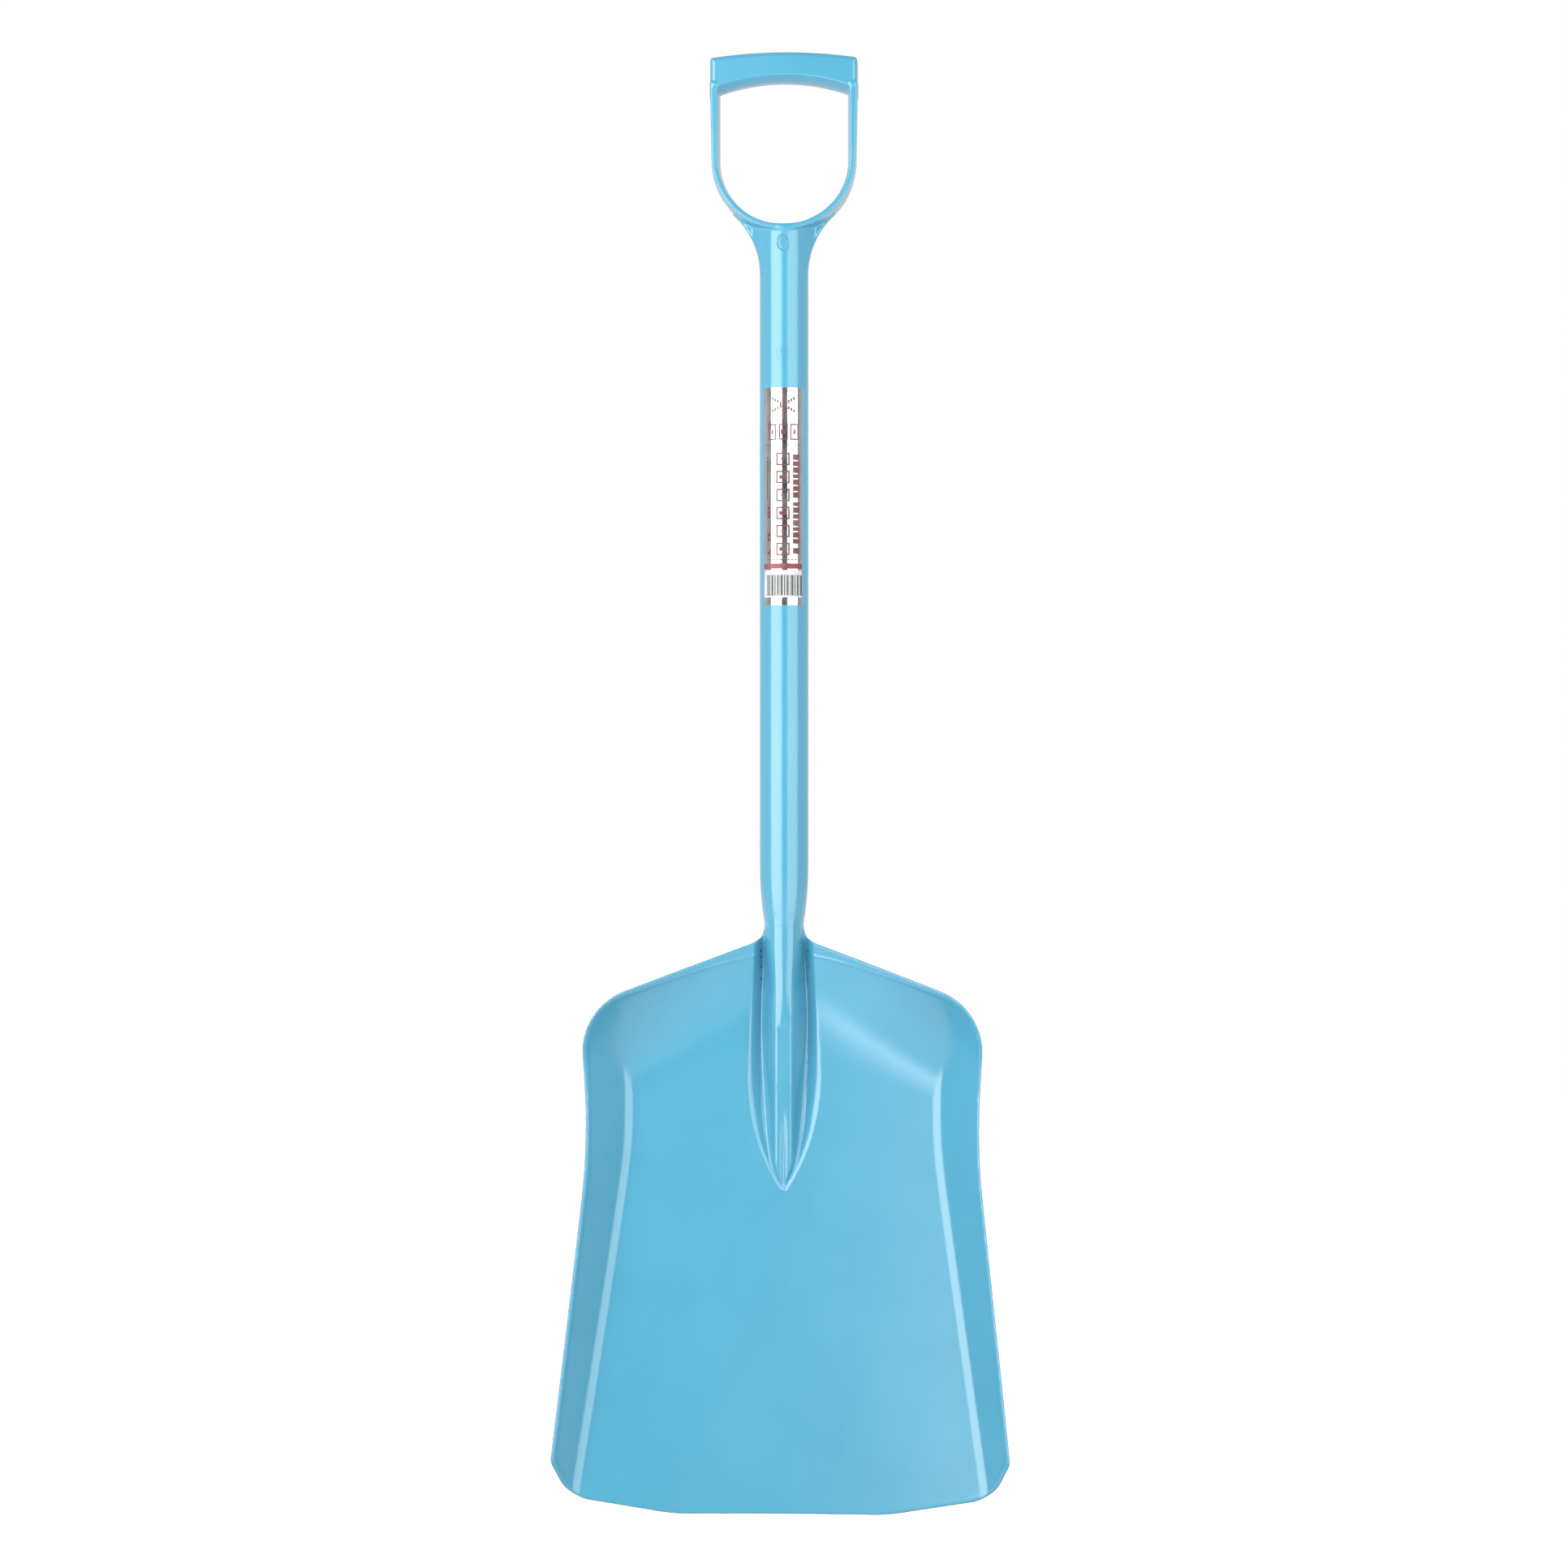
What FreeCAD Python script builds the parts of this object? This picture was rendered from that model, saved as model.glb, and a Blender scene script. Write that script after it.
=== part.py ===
"""One-piece D-grip snow shovel, in millimetres, held upright: +Z up the shaft, -Y out of the load face.

The origin is on the shaft's axis at the clip station, where a tool clip grips the bare shaft.
The shovel body is one plastic moulding. It is written here as the sections that make it up, and each
section is a closed solid that meets its neighbours face to face.
"""
import FreeCAD
import Part
import math
import os

Vec = FreeCAD.Vector

# Shaft
CLIP_STATION = 90.0         # clip station above the lower end of the straight shaft
SHAFT_RADIUS = 18.5
SHAFT_LENGTH = 445.0
SHAFT_WALL = 7.0

# Neck, between the straight shaft and the blade
NECK_LENGTH = 61.0
NECK_HALF_WIDTH = 14.4
NECK_HALF_DEPTH = 16.5
NECK_WAIST_RISE = 12.0      # the thinnest station above the neck's foot
FLARE_RADIUS = 11.0         # concave fillet from the neck into the shoulders
FLARE_MIDDLE = 200.0        # degrees round the fillet to a point between its ends
FLARE_THICKNESS = 6.0

# Blade outline, heights above the lip
BLADE_LENGTH = 419.0        # lip to the neck's foot
LIP_HALF_WIDTH = 79.0       # the flat middle of the lip
LIP_BLEND_RADIUS = 150.0
LIP_END_HALF_WIDTH = 156.1  # where the lip line meets the corner bevel, before rounding
LIP_END_RISE = 12.8
LIP_END_RADIUS = 30.0
CORNER_HALF_WIDTH = 169.3   # where the bevel meets the side, before rounding
CORNER_RISE = 40.6
CORNER_RADIUS = 14.0
WAIST_HALF_WIDTH = 145.8
WAIST_DROP = 151.0          # waist below the neck's foot
WAIST_RADIUS = 500.0
WAIST_BEND = 20.0           # height over which the walls follow the waist round
SHOULDER_HALF_WIDTH = 151.5
SHOULDER_ANGLE = 20.2       # degrees that the shoulder falls away from the neck
SHOULDER_RADIUS = 48.0
APEX_RISE = 8.9             # where the two shoulder lines cross, above the neck's foot

# Blade dish
WALL = 4.2
OVERRUN = 12.0              # how far the sheet's surfaces run past the outline
FLOOR_REACH = 2.9           # floor in front of the shaft's axis at the back wall's foot
LIP_LIFT = 17.0             # degrees, floor against the shaft at the lip
BACK_LIFT = 7.0             # degrees, floor against the shaft at the back wall
CROSS_DISH = 0.0004         # floor's bow across the blade, per mm
SIDE_ANGLE = 42.0           # degrees, side wall against the floor
SIDE_FILLET = 25.0
SIDE_WIDTH_BACK = 40.0      # floor edge to rim at the back of the blade
SIDE_WIDTH_LIP = 31.0       # and at the lip
BACK_WALL_HEIGHT = 80.0     # down from the shoulder rim
BACK_WALL_REACH = 13.0      # how far the back wall leans forward beside the neck
BACK_CORNER_REACH = 28.0    # and at the shoulder corners
RIM_WIDTH = 3.0
RIM_PROUD = 0.8             # rim bead above and below the sheet

# Frog, the pointed socket that carries the neck into the blade
FROG_LENGTH = 186.0
FROG_HALF_WIDTH = 25.9
FROG_TOP_HALF_WIDTH = 20.6
FROG_SHOULDER_DROP = 99.0   # widest station below the neck's foot
VALLEY_DEPTH = 11.0
RIDGE_SHARE = 0.3           # ridge against the frog's width

# Yoke and grip
STEM_LENGTH = 39.3          # shaft end to the underside of the bow's opening
STEM_SWELL = 0.3            # the head's radius over the shaft's, where the mould drafts out
BOW_INNER_RADIUS = 48.4
BOW_THICKNESS = 6.8
BOW_HALF_DEPTH = 19.5
HOOP_DRAFT_INSIDE = 0.10    # slope of the hoop's inner sides, out from the parting line at its middle
HOOP_DRAFT_OUTSIDE = 0.05
WEB_RADIUS = 64.0
WEB_THICKNESS = 6.0         # at its outer edge
WEB_SLOPE = 0.85            # how the web thickens towards the stem
WEB_THIN_HALF_WIDTH = 24.8  # thin from here outwards
WEB_THICK_HALF_WIDTH = 12.0 # inside the stem, where it stops thickening
ARM_LENGTH = 50.2
ARM_TOP_THICKNESS = 7.8
GRIP_HALF_DEPTH = 15.0
GRIP_EDGE_RADIUS = 4.0
BAR_HEIGHT = 22.1
BAR_BELLY = 5.0             # how far the bar's underside bulges between its front and back edges
BAR_TOP_RADIUS = 378.6
BAR_BOTTOM_RADIUS = 146.5
BAR_CORNER_RADIUS = 3.0

# Gas port plug in the front of the stem
PLUG_HALF_WIDTH = 3.7
PLUG_HALF_HEIGHT = 5.5
PLUG_DEPTH = 4.0
PLUG_PROUD = 0.3
PLUG_STATION = 23.9         # above the shaft's upper end

# Label round the front of the shaft
LABEL_LENGTH = 164.2
LABEL_TOP_DROP = 85.9       # label's top below the shaft's upper end
LABEL_HALF_TURN = 53.0      # degrees each way round from the front
FILM_MARGIN = 8.0           # degrees that the clear film runs past the foil
FOIL_THICKNESS = 0.1
FILM_THICKNESS = 0.05

# Heights that follow from the sizes above
SHAFT_FOOT = -CLIP_STATION
SHAFT_HEAD = SHAFT_FOOT + SHAFT_LENGTH
NECK_FOOT = SHAFT_FOOT - NECK_LENGTH
LIP = NECK_FOOT - BLADE_LENGTH
APEX = NECK_FOOT + APEX_RISE
WAIST = NECK_FOOT - WAIST_DROP
FROG_TIP = NECK_FOOT - FROG_LENGTH
BACK_WALL_FOOT = APEX - BACK_WALL_HEIGHT
BOW_CENTRE = SHAFT_HEAD + STEM_LENGTH + BOW_INNER_RADIUS
BOW_OUTER_RADIUS = BOW_INNER_RADIUS + BOW_THICKNESS
ARM_HEAD = BOW_CENTRE + ARM_LENGTH
GRIP_HALF_WIDTH = BOW_INNER_RADIUS + ARM_TOP_THICKNESS
STEM_RADIUS = SHAFT_RADIUS + STEM_SWELL
FAR = 400.0                 # past everything, for cutting tools
PARTS = "parts"


def flat(x, z):
    return Vec(x, 0, z)


def rounded_wire(corners):
    """A closed wire in the XZ plane through (x, z, radius) corners, each rounded by a tangent arc."""
    ends = []
    for i, (x, z, radius) in enumerate(corners):
        here = flat(x, z)
        before = flat(*corners[i - 1][:2]) - here
        after = flat(*corners[(i + 1) % len(corners)][:2]) - here
        before.normalize()
        after.normalize()
        if radius == 0:
            ends.append((here, here, here))
            continue
        half = before.getAngle(after) / 2
        reach = radius / math.tan(half)
        middle = before + after
        middle.normalize()
        top = here + middle * (radius / math.sin(half) - radius)
        ends.append((here + before * reach, top, here + after * reach))
    edges = []
    for i, (start, top, end) in enumerate(ends):
        if (start - end).Length > 1e-6:
            edges.append(Part.Arc(start, top, end).toShape())
        onward = ends[(i + 1) % len(ends)][0]
        edges.append(Part.LineSegment(end, onward).toShape())
    return Part.Wire(edges)


def prism(wire, y_front=-FAR, y_back=FAR):
    """A wire in the XZ plane as a solid from y_front to y_back."""
    face = Part.Face(wire)
    face.translate(Vec(0, y_front, 0))
    return face.extrude(Vec(0, y_back - y_front, 0))


def disc(radius, z, y_front=-FAR, y_back=FAR):
    return Part.makeCylinder(radius, y_back - y_front, Vec(0, y_front, z), Vec(0, 1, 0))


def side_edge(z):
    """The blade's half width at a height, with the waist as a smooth bend between two lines."""
    above = (SHOULDER_HALF_WIDTH - WAIST_HALF_WIDTH) / (shoulder_corner() - WAIST)
    below = (CORNER_HALF_WIDTH - WAIST_HALF_WIDTH) / (WAIST - LIP - CORNER_RISE)
    up = z - WAIST
    bend = 0.5 * math.hypot(up, WAIST_BEND)
    return WAIST_HALF_WIDTH + above * (bend + up / 2) + below * (bend - up / 2)


def shoulder_corner():
    return APEX - SHOULDER_HALF_WIDTH * math.tan(math.radians(SHOULDER_ANGLE))


def floor_depth(x, z):
    """The floor's y, before the walls turn up: it lifts towards the lip and bows across."""
    down = BACK_WALL_FOOT - z
    lip_slope = math.tan(math.radians(LIP_LIFT))
    back_slope = math.tan(math.radians(BACK_LIFT))
    easing = (lip_slope - back_slope) / (2 * (BACK_WALL_FOOT - LIP))
    return -FLOOR_REACH - back_slope * down - easing * down ** 2 - CROSS_DISH * x ** 2


def side_wall(x, z):
    """How far the side wall stands in front of the floor: a fillet, then a straight draft."""
    share = (z - LIP) / (BACK_WALL_FOOT - LIP)
    width = SIDE_WIDTH_LIP + (SIDE_WIDTH_BACK - SIDE_WIDTH_LIP) * share
    inwards = width - (side_edge(z) - abs(x))
    angle = math.radians(SIDE_ANGLE)
    turned = SIDE_FILLET * math.sin(angle)
    if inwards <= 0:
        return 0.0
    if inwards < turned:
        return SIDE_FILLET - math.sqrt(SIDE_FILLET ** 2 - inwards ** 2)
    return SIDE_FILLET * (1 - math.cos(angle)) + (inwards - turned) * math.tan(angle)


def back_wall(x, z):
    """How far the back wall stands in front of the floor, by the distance below the shoulder rim."""
    slope = math.radians(SHOULDER_ANGLE)
    drop = (APEX - abs(x) * math.tan(slope) - z) * math.cos(slope)
    share = abs(x) / (SHOULDER_HALF_WIDTH - SHOULDER_RADIUS)
    reach = BACK_WALL_REACH + (BACK_CORNER_REACH - BACK_WALL_REACH) * min(share, 1.5) ** 2
    left = 1 - drop / BACK_WALL_HEIGHT
    return reach * left ** 2 if left > 0 else 0.0


def load_face(x, z):
    return floor_depth(x, z) - math.hypot(side_wall(x, z), back_wall(x, z))


def rear_face(x, z):
    """The sheet's back, a wall's thickness behind the load face square to its slope."""
    step = 0.5
    across = (load_face(x + step, z) - load_face(x - step, z)) / (2 * step)
    along = (load_face(x, z + step) - load_face(x, z - step)) / (2 * step)
    return load_face(x, z) + WALL * math.sqrt(1 + across ** 2 + along ** 2)


def behind(depth, columns, heights):
    """Everything behind a surface y = depth(x, z), through a grid of columns(z) by heights."""
    grid = [[Vec(x, depth(x, z), z) for x in columns(z)] for z in heights]
    surface = Part.BSplineSurface()
    surface.interpolate(grid)
    return surface.toShape().extrude(Vec(0, 2 * FAR, 0))


def spread(first, last, count):
    return [first + (last - first) * i / (count - 1) for i in range(count)]


def pan_columns(z):
    """Grid columns across the blade, close together over the side walls and past the rim."""
    edge = side_edge(z)
    walls = [edge - inset for inset in (-8, 0, 8, 16, 21, 26, 31, 36, 41, 48)]
    inner = spread(walls[-1], -walls[-1], 11)[1:-1]
    return walls + inner + [-x for x in reversed(walls)]


def sheet(front, back, outline):
    heights = spread(LIP - OVERRUN, APEX + OVERRUN, 37)
    body = prism(outline).common(behind(front, pan_columns, heights))
    return body.cut(behind(back, pan_columns, heights))


def blade_outline(inset=0.0, lip_overrun=0.0):
    """The blade's outline. With an inset it is the inner edge of the rim, run out past the lip."""
    slope = math.tan(math.radians(SHOULDER_ANGLE))
    apex = APEX - inset / math.cos(math.radians(SHOULDER_ANGLE))
    lip = LIP - lip_overrun
    shoulder = SHOULDER_HALF_WIDTH - inset
    right = [
        (shoulder, apex - shoulder * slope, SHOULDER_RADIUS - inset),
        (WAIST_HALF_WIDTH - inset, WAIST, WAIST_RADIUS),
        (CORNER_HALF_WIDTH - inset, lip + CORNER_RISE, CORNER_RADIUS - inset),
        (LIP_END_HALF_WIDTH - inset, lip + LIP_END_RISE, LIP_END_RADIUS - inset),
        (LIP_HALF_WIDTH, lip, LIP_BLEND_RADIUS),
    ]
    left = [(-x, z, radius) for x, z, radius in reversed(right)]
    return rounded_wire([(0, apex, 0)] + right + left)


def frog_half_width(z):
    """The frog's half width: nearly straight by the neck, then an arc that closes in a point."""
    widest = NECK_FOOT - FROG_SHOULDER_DROP
    if z >= widest:
        share = (z - widest) / FROG_SHOULDER_DROP
        return FROG_HALF_WIDTH + (FROG_TOP_HALF_WIDTH - FROG_HALF_WIDTH) * share
    tall = widest - FROG_TIP
    radius = (tall ** 2 + FROG_HALF_WIDTH ** 2) / (2 * FROG_HALF_WIDTH)
    return FROG_HALF_WIDTH - radius + math.sqrt(radius ** 2 - (widest - z) ** 2)


def frog_outline(top):
    """The frog's outline in the XZ plane, from its point up to a height."""
    widest = NECK_FOOT - FROG_SHOULDER_DROP
    middle = (widest + FROG_TIP) / 2
    tip = flat(0, FROG_TIP)
    edges = []
    for side in (1, -1):
        wide = flat(side * FROG_HALF_WIDTH, widest)
        foot = flat(side * FROG_TOP_HALF_WIDTH, NECK_FOOT)
        head = flat(side * FROG_TOP_HALF_WIDTH, top)
        through = flat(side * frog_half_width(middle), middle)
        edges.append(Part.Arc(tip, through, wide).toShape())
        edges.append(Part.LineSegment(wide, foot).toShape())
        if top > NECK_FOOT:
            edges.append(Part.LineSegment(foot, head).toShape())
    edges.append(Part.LineSegment(flat(FROG_TOP_HALF_WIDTH, top), flat(-FROG_TOP_HALF_WIDTH, top)).toShape())
    return Part.Wire(Part.__sortEdges__(edges))


def frog_share(z):
    return min(max((z - FROG_TIP) / FROG_LENGTH, 0.0), 1.0)


def frog_front(x, z):
    """Ridge, two valleys and the rise back to the load face."""
    share = frog_share(z)
    across = min(abs(x) / max(frog_half_width(z), 1.0), 1.0)
    edge = load_face(x, z)
    crest = load_face(0, FROG_TIP) + (-NECK_HALF_DEPTH - load_face(0, FROG_TIP)) * share
    ridge = 0.5 * (1 + math.cos(math.pi * min(across / (2 * RIDGE_SHARE), 1.0)))
    valley = math.sin(math.pi * across) * VALLEY_DEPTH * share
    return edge + (crest - edge) * ridge + valley * (1 - ridge)


def frog_back(x, z):
    """The keel: the back of the sheet, swollen to the neck's depth."""
    across = min(abs(x) / max(frog_half_width(z), 1.0), 1.0)
    keel = (NECK_HALF_DEPTH - rear_face(0, NECK_FOOT)) * frog_share(z) ** 0.9
    return rear_face(x, z) + keel * (1 - across ** 2)


def frog_columns(z):
    half = frog_half_width(max(z, FROG_TIP + 4.0)) + 1.5
    return [half * share for share in spread(-1.0, 1.0, 17)]


def blade_frog():
    heights = spread(FROG_TIP - 4.0, NECK_FOOT + 6.0, 25)
    body = prism(frog_outline(NECK_FOOT)).common(behind(frog_front, frog_columns, heights))
    return body.cut(behind(frog_back, frog_columns, heights))


def socket_cut():
    """The room the frog and neck take out of the blade sheet and its rim."""
    return prism(frog_outline(APEX + 5.0))


def blade_pan():
    pan = sheet(load_face, rear_face, blade_outline(RIM_WIDTH, 10.0))
    below_lip = prism(blade_outline())
    return pan.common(below_lip).cut(socket_cut())


def rims():
    """The bead along the sides and shoulders, left and right."""
    bead = sheet(
        lambda x, z: load_face(x, z) - RIM_PROUD,
        lambda x, z: rear_face(x, z) + RIM_PROUD,
        blade_outline(),
    )
    bead = bead.cut(prism(blade_outline(RIM_WIDTH, 10.0))).cut(socket_cut())
    left, right = sorted(bead.Solids, key=lambda s: s.BoundBox.Center.x)
    return left, right


def neck():
    """A barrel that narrows from the shaft, and the thin flares that run out along the shoulders."""
    sections = []
    for share in (0.0, 0.25, 0.5, 0.75, 1.0):
        fade = 1 - share ** 2
        half_width = NECK_HALF_WIDTH + (SHAFT_RADIUS - NECK_HALF_WIDTH) * fade
        half_depth = NECK_HALF_DEPTH + (SHAFT_RADIUS - NECK_HALF_DEPTH) * fade
        z = SHAFT_FOOT - (NECK_LENGTH - NECK_WAIST_RISE) * share
        sections.append(Part.Wire(oval(half_width, half_depth, z)))
    barrel = Part.makeLoft(sections, True)
    waist = NECK_FOOT + NECK_WAIST_RISE
    foot = Part.Face(Part.Wire(oval(NECK_HALF_WIDTH, NECK_HALF_DEPTH, waist)))
    foot = foot.extrude(Vec(0, 0, -NECK_WAIST_RISE))
    flares = prism(flare_outline(), -FLARE_THICKNESS / 2, FLARE_THICKNESS / 2)
    return barrel.fuse([foot, flares]).removeSplitter()


def oval(half_width, half_depth, z):
    """A closed curve round the axis at a height, as a circle stretched to two half widths."""
    count = 24
    points = []
    for i in range(count):
        turn = 2 * math.pi * i / count
        points.append(Vec(half_width * math.cos(turn), half_depth * math.sin(turn), z))
    curve = Part.BSplineCurve()
    curve.interpolate(points, PeriodicFlag=True)
    return curve.toShape()


def flare_outline():
    """The neck's foot, out to the frog's sides, and the fillets that drop to the shoulder lines."""
    slope = math.radians(SHOULDER_ANGLE)
    centre_x = NECK_HALF_WIDTH + FLARE_RADIUS
    centre_z = APEX - centre_x * math.tan(slope) + FLARE_RADIUS / math.cos(slope)
    touch_x = FROG_TOP_HALF_WIDTH
    touch_z = centre_z - math.sqrt(FLARE_RADIUS ** 2 - (centre_x - touch_x) ** 2)
    middle = math.radians(FLARE_MIDDLE)
    edges = []
    for side in (1, -1):
        top = flat(side * NECK_HALF_WIDTH, centre_z)
        through = flat(
            side * (centre_x + FLARE_RADIUS * math.cos(middle)),
            centre_z + FLARE_RADIUS * math.sin(middle),
        )
        touch = flat(side * touch_x, touch_z)
        edges.append(Part.Arc(top, through, touch).toShape())
        edges.append(Part.LineSegment(touch, flat(side * touch_x, NECK_FOOT)).toShape())
    edges.append(Part.LineSegment(flat(touch_x, NECK_FOOT), flat(-touch_x, NECK_FOOT)).toShape())
    edges.append(Part.LineSegment(flat(NECK_HALF_WIDTH, centre_z), flat(-NECK_HALF_WIDTH, centre_z)).toShape())
    return Part.Wire(Part.__sortEdges__(edges))


def shaft_tube():
    outside = Part.makeCylinder(SHAFT_RADIUS, SHAFT_LENGTH, Vec(0, 0, SHAFT_FOOT))
    return outside.cut(Part.makeCylinder(SHAFT_RADIUS - SHAFT_WALL, SHAFT_LENGTH, Vec(0, 0, SHAFT_FOOT)))


def bow_disc():
    return disc(BOW_OUTER_RADIUS, BOW_CENTRE)


def depth_taper():
    """The yoke from the side: deep over the shaft and slimmer at the grip bar."""
    low = SHAFT_HEAD
    corners = [
        Vec(-FAR, -BOW_HALF_DEPTH, low),
        Vec(-FAR, -BOW_HALF_DEPTH, BOW_CENTRE - BOW_INNER_RADIUS),
        Vec(-FAR, -GRIP_HALF_DEPTH, ARM_HEAD),
        Vec(-FAR, GRIP_HALF_DEPTH, ARM_HEAD),
        Vec(-FAR, BOW_HALF_DEPTH, BOW_CENTRE - BOW_INNER_RADIUS),
        Vec(-FAR, BOW_HALF_DEPTH, low),
        Vec(-FAR, -BOW_HALF_DEPTH, low),
    ]
    return Part.Face(Part.makePolygon(corners)).extrude(Vec(2 * FAR, 0, 0))


def hoop_section(outer, place):
    """The hoop's drafted section, widest at its middle, through place(distance from the hoop's axis, y)."""
    inner_edge = BOW_INNER_RADIUS + HOOP_DRAFT_INSIDE * BOW_HALF_DEPTH
    outer_edge = outer - HOOP_DRAFT_OUTSIDE * BOW_HALF_DEPTH
    corners = [
        place(BOW_INNER_RADIUS, 0),
        place(inner_edge, -BOW_HALF_DEPTH),
        place(outer_edge, -BOW_HALF_DEPTH),
        place(outer, 0),
        place(outer_edge, BOW_HALF_DEPTH),
        place(inner_edge, BOW_HALF_DEPTH),
    ]
    return Part.makePolygon(corners + corners[:1])


def yoke_bow():
    section = Part.Face(hoop_section(BOW_OUTER_RADIUS, lambda out, y: Vec(out, y, BOW_CENTRE)))
    ring = section.revolve(Vec(0, 0, BOW_CENTRE), Vec(0, 1, 0), 180.0)
    return ring.common(depth_taper())


def yoke_stem():
    """The shaft's closed head under the bow, with the pocket for the gas port plug."""
    stem = Part.makeCylinder(STEM_RADIUS, STEM_LENGTH, Vec(0, 0, SHAFT_HEAD))
    return stem.cut(bow_disc()).cut(plug_solid())


def plug_solid():
    front = -STEM_RADIUS - PLUG_PROUD
    tall = Part.Ellipse(Vec(0, 0, PLUG_HALF_HEIGHT), Vec(PLUG_HALF_WIDTH, 0, 0), Vec(0, 0, 0))
    plug = Part.Face(Part.Wire(tall.toShape()))
    plug.translate(Vec(0, front, SHAFT_HEAD + PLUG_STATION))
    return plug.extrude(Vec(0, PLUG_DEPTH, 0))


def web_wedge():
    """The web from above: thin at its outer edge and thicker towards the stem."""
    thin = WEB_THICKNESS / 2
    thick = thin + WEB_SLOPE * (WEB_THIN_HALF_WIDTH - WEB_THICK_HALF_WIDTH)
    quarter = [(FAR, thin), (WEB_THIN_HALF_WIDTH, thin), (WEB_THICK_HALF_WIDTH, thick)]
    back = [Vec(x, y, -FAR) for x, y in quarter] + [Vec(-x, y, -FAR) for x, y in reversed(quarter)]
    front = [Vec(v.x, -v.y, v.z) for v in reversed(back)]
    outline = Part.makePolygon(back + front + back[:1])
    return Part.Face(outline).extrude(Vec(0, 0, 3 * FAR))


def yoke_web(side):
    """The thin gusset between the stem and the bow, with its concave outer edge."""
    centre_x = STEM_RADIUS + WEB_RADIUS
    gap = BOW_CENTRE - SHAFT_HEAD
    span = math.hypot(centre_x, gap)
    along = (WEB_RADIUS ** 2 - BOW_OUTER_RADIUS ** 2 + span ** 2) / (2 * span)
    off = math.sqrt(max(WEB_RADIUS ** 2 - along ** 2, 0.0))
    toward_x, toward_z = -centre_x / span, gap / span
    meet_x = centre_x + along * toward_x - off * toward_z
    meet_z = SHAFT_HEAD + along * toward_z + off * toward_x
    half = math.atan2(meet_z - SHAFT_HEAD, centre_x - meet_x) / 2
    through_x = centre_x - WEB_RADIUS * math.cos(half)
    through_z = SHAFT_HEAD + WEB_RADIUS * math.sin(half)
    start = flat(side * STEM_RADIUS, SHAFT_HEAD)
    meet = flat(side * meet_x, meet_z)
    edges = [
        Part.Arc(start, flat(side * through_x, through_z), meet).toShape(),
        Part.LineSegment(meet, flat(0, BOW_CENTRE)).toShape(),
        Part.LineSegment(flat(0, BOW_CENTRE), flat(0, SHAFT_HEAD)).toShape(),
        Part.LineSegment(flat(0, SHAFT_HEAD), start).toShape(),
    ]
    web = prism(Part.Wire(edges)).common(web_wedge())
    stem = Part.makeCylinder(STEM_RADIUS, 2 * FAR, Vec(0, 0, SHAFT_HEAD - FAR))
    return web.cut(bow_disc()).cut(stem)


def grip_arm(side):
    foot = hoop_section(BOW_OUTER_RADIUS, lambda out, y: Vec(side * out, y, BOW_CENTRE))
    head = hoop_section(GRIP_HALF_WIDTH, lambda out, y: Vec(side * out, y, ARM_HEAD))
    return Part.makeLoft([foot, head], True, True).common(depth_taper())


def grip_bar():
    """The hand bar: arched above and below, with its long edges rounded."""
    half = BOW_INNER_RADIUS
    sag = BAR_BOTTOM_RADIUS - math.sqrt(BAR_BOTTOM_RADIUS ** 2 - half ** 2)
    top_centre = ARM_HEAD + sag + BAR_HEIGHT
    fall = BAR_TOP_RADIUS - math.sqrt(BAR_TOP_RADIUS ** 2 - GRIP_HALF_WIDTH ** 2)
    left_head = flat(-GRIP_HALF_WIDTH, top_centre - fall)
    right_head = flat(GRIP_HALF_WIDTH, top_centre - fall)
    edges = [
        Part.Arc(flat(-half, ARM_HEAD), flat(0, ARM_HEAD + sag), flat(half, ARM_HEAD)).toShape(),
        Part.LineSegment(flat(half, ARM_HEAD), flat(GRIP_HALF_WIDTH, ARM_HEAD)).toShape(),
        Part.LineSegment(flat(GRIP_HALF_WIDTH, ARM_HEAD), right_head).toShape(),
        Part.Arc(right_head, flat(0, top_centre), left_head).toShape(),
        Part.LineSegment(left_head, flat(-GRIP_HALF_WIDTH, ARM_HEAD)).toShape(),
        Part.LineSegment(flat(-GRIP_HALF_WIDTH, ARM_HEAD), flat(-half, ARM_HEAD)).toShape(),
    ]
    bar = prism(Part.Wire(edges), -GRIP_HALF_DEPTH, GRIP_HALF_DEPTH)
    bar = bar.cut(bar_belly(ARM_HEAD + sag - BAR_BOTTOM_RADIUS))
    upright = [e for e in bar.Edges if is_end_corner(e)]
    bar = bar.makeFillet(BAR_CORNER_RADIUS, upright)
    long_edges = [e for e in bar.Edges if is_top_edge(e)]
    return bar.makeFillet(GRIP_EDGE_RADIUS, long_edges)


def bar_belly(centre_z):
    """What is taken from under the bar between the arms, so that its underside bulges."""
    inside = BAR_BOTTOM_RADIUS / 2
    edge_radius = BAR_BOTTOM_RADIUS + BAR_BELLY
    edges = [
        Part.Arc(
            Vec(0, -GRIP_HALF_DEPTH, centre_z + edge_radius),
            Vec(0, 0, centre_z + BAR_BOTTOM_RADIUS),
            Vec(0, GRIP_HALF_DEPTH, centre_z + edge_radius),
        ).toShape(),
        Part.makePolygon([
            Vec(0, GRIP_HALF_DEPTH, centre_z + edge_radius),
            Vec(0, GRIP_HALF_DEPTH, centre_z + inside),
            Vec(0, -GRIP_HALF_DEPTH, centre_z + inside),
            Vec(0, -GRIP_HALF_DEPTH, centre_z + edge_radius),
        ]),
    ]
    section = Part.Face(Part.Wire(edges[:1] + edges[1].Edges))
    section.rotate(Vec(0, 0, centre_z), Vec(0, 1, 0), -45.0)
    ring = section.revolve(Vec(0, 0, centre_z), Vec(0, 1, 0), 90.0)
    between = Part.makeBox(2 * BOW_INNER_RADIUS, 2 * FAR, 2 * FAR, Vec(-BOW_INNER_RADIUS, -FAR, 0))
    return ring.common(between)


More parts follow.
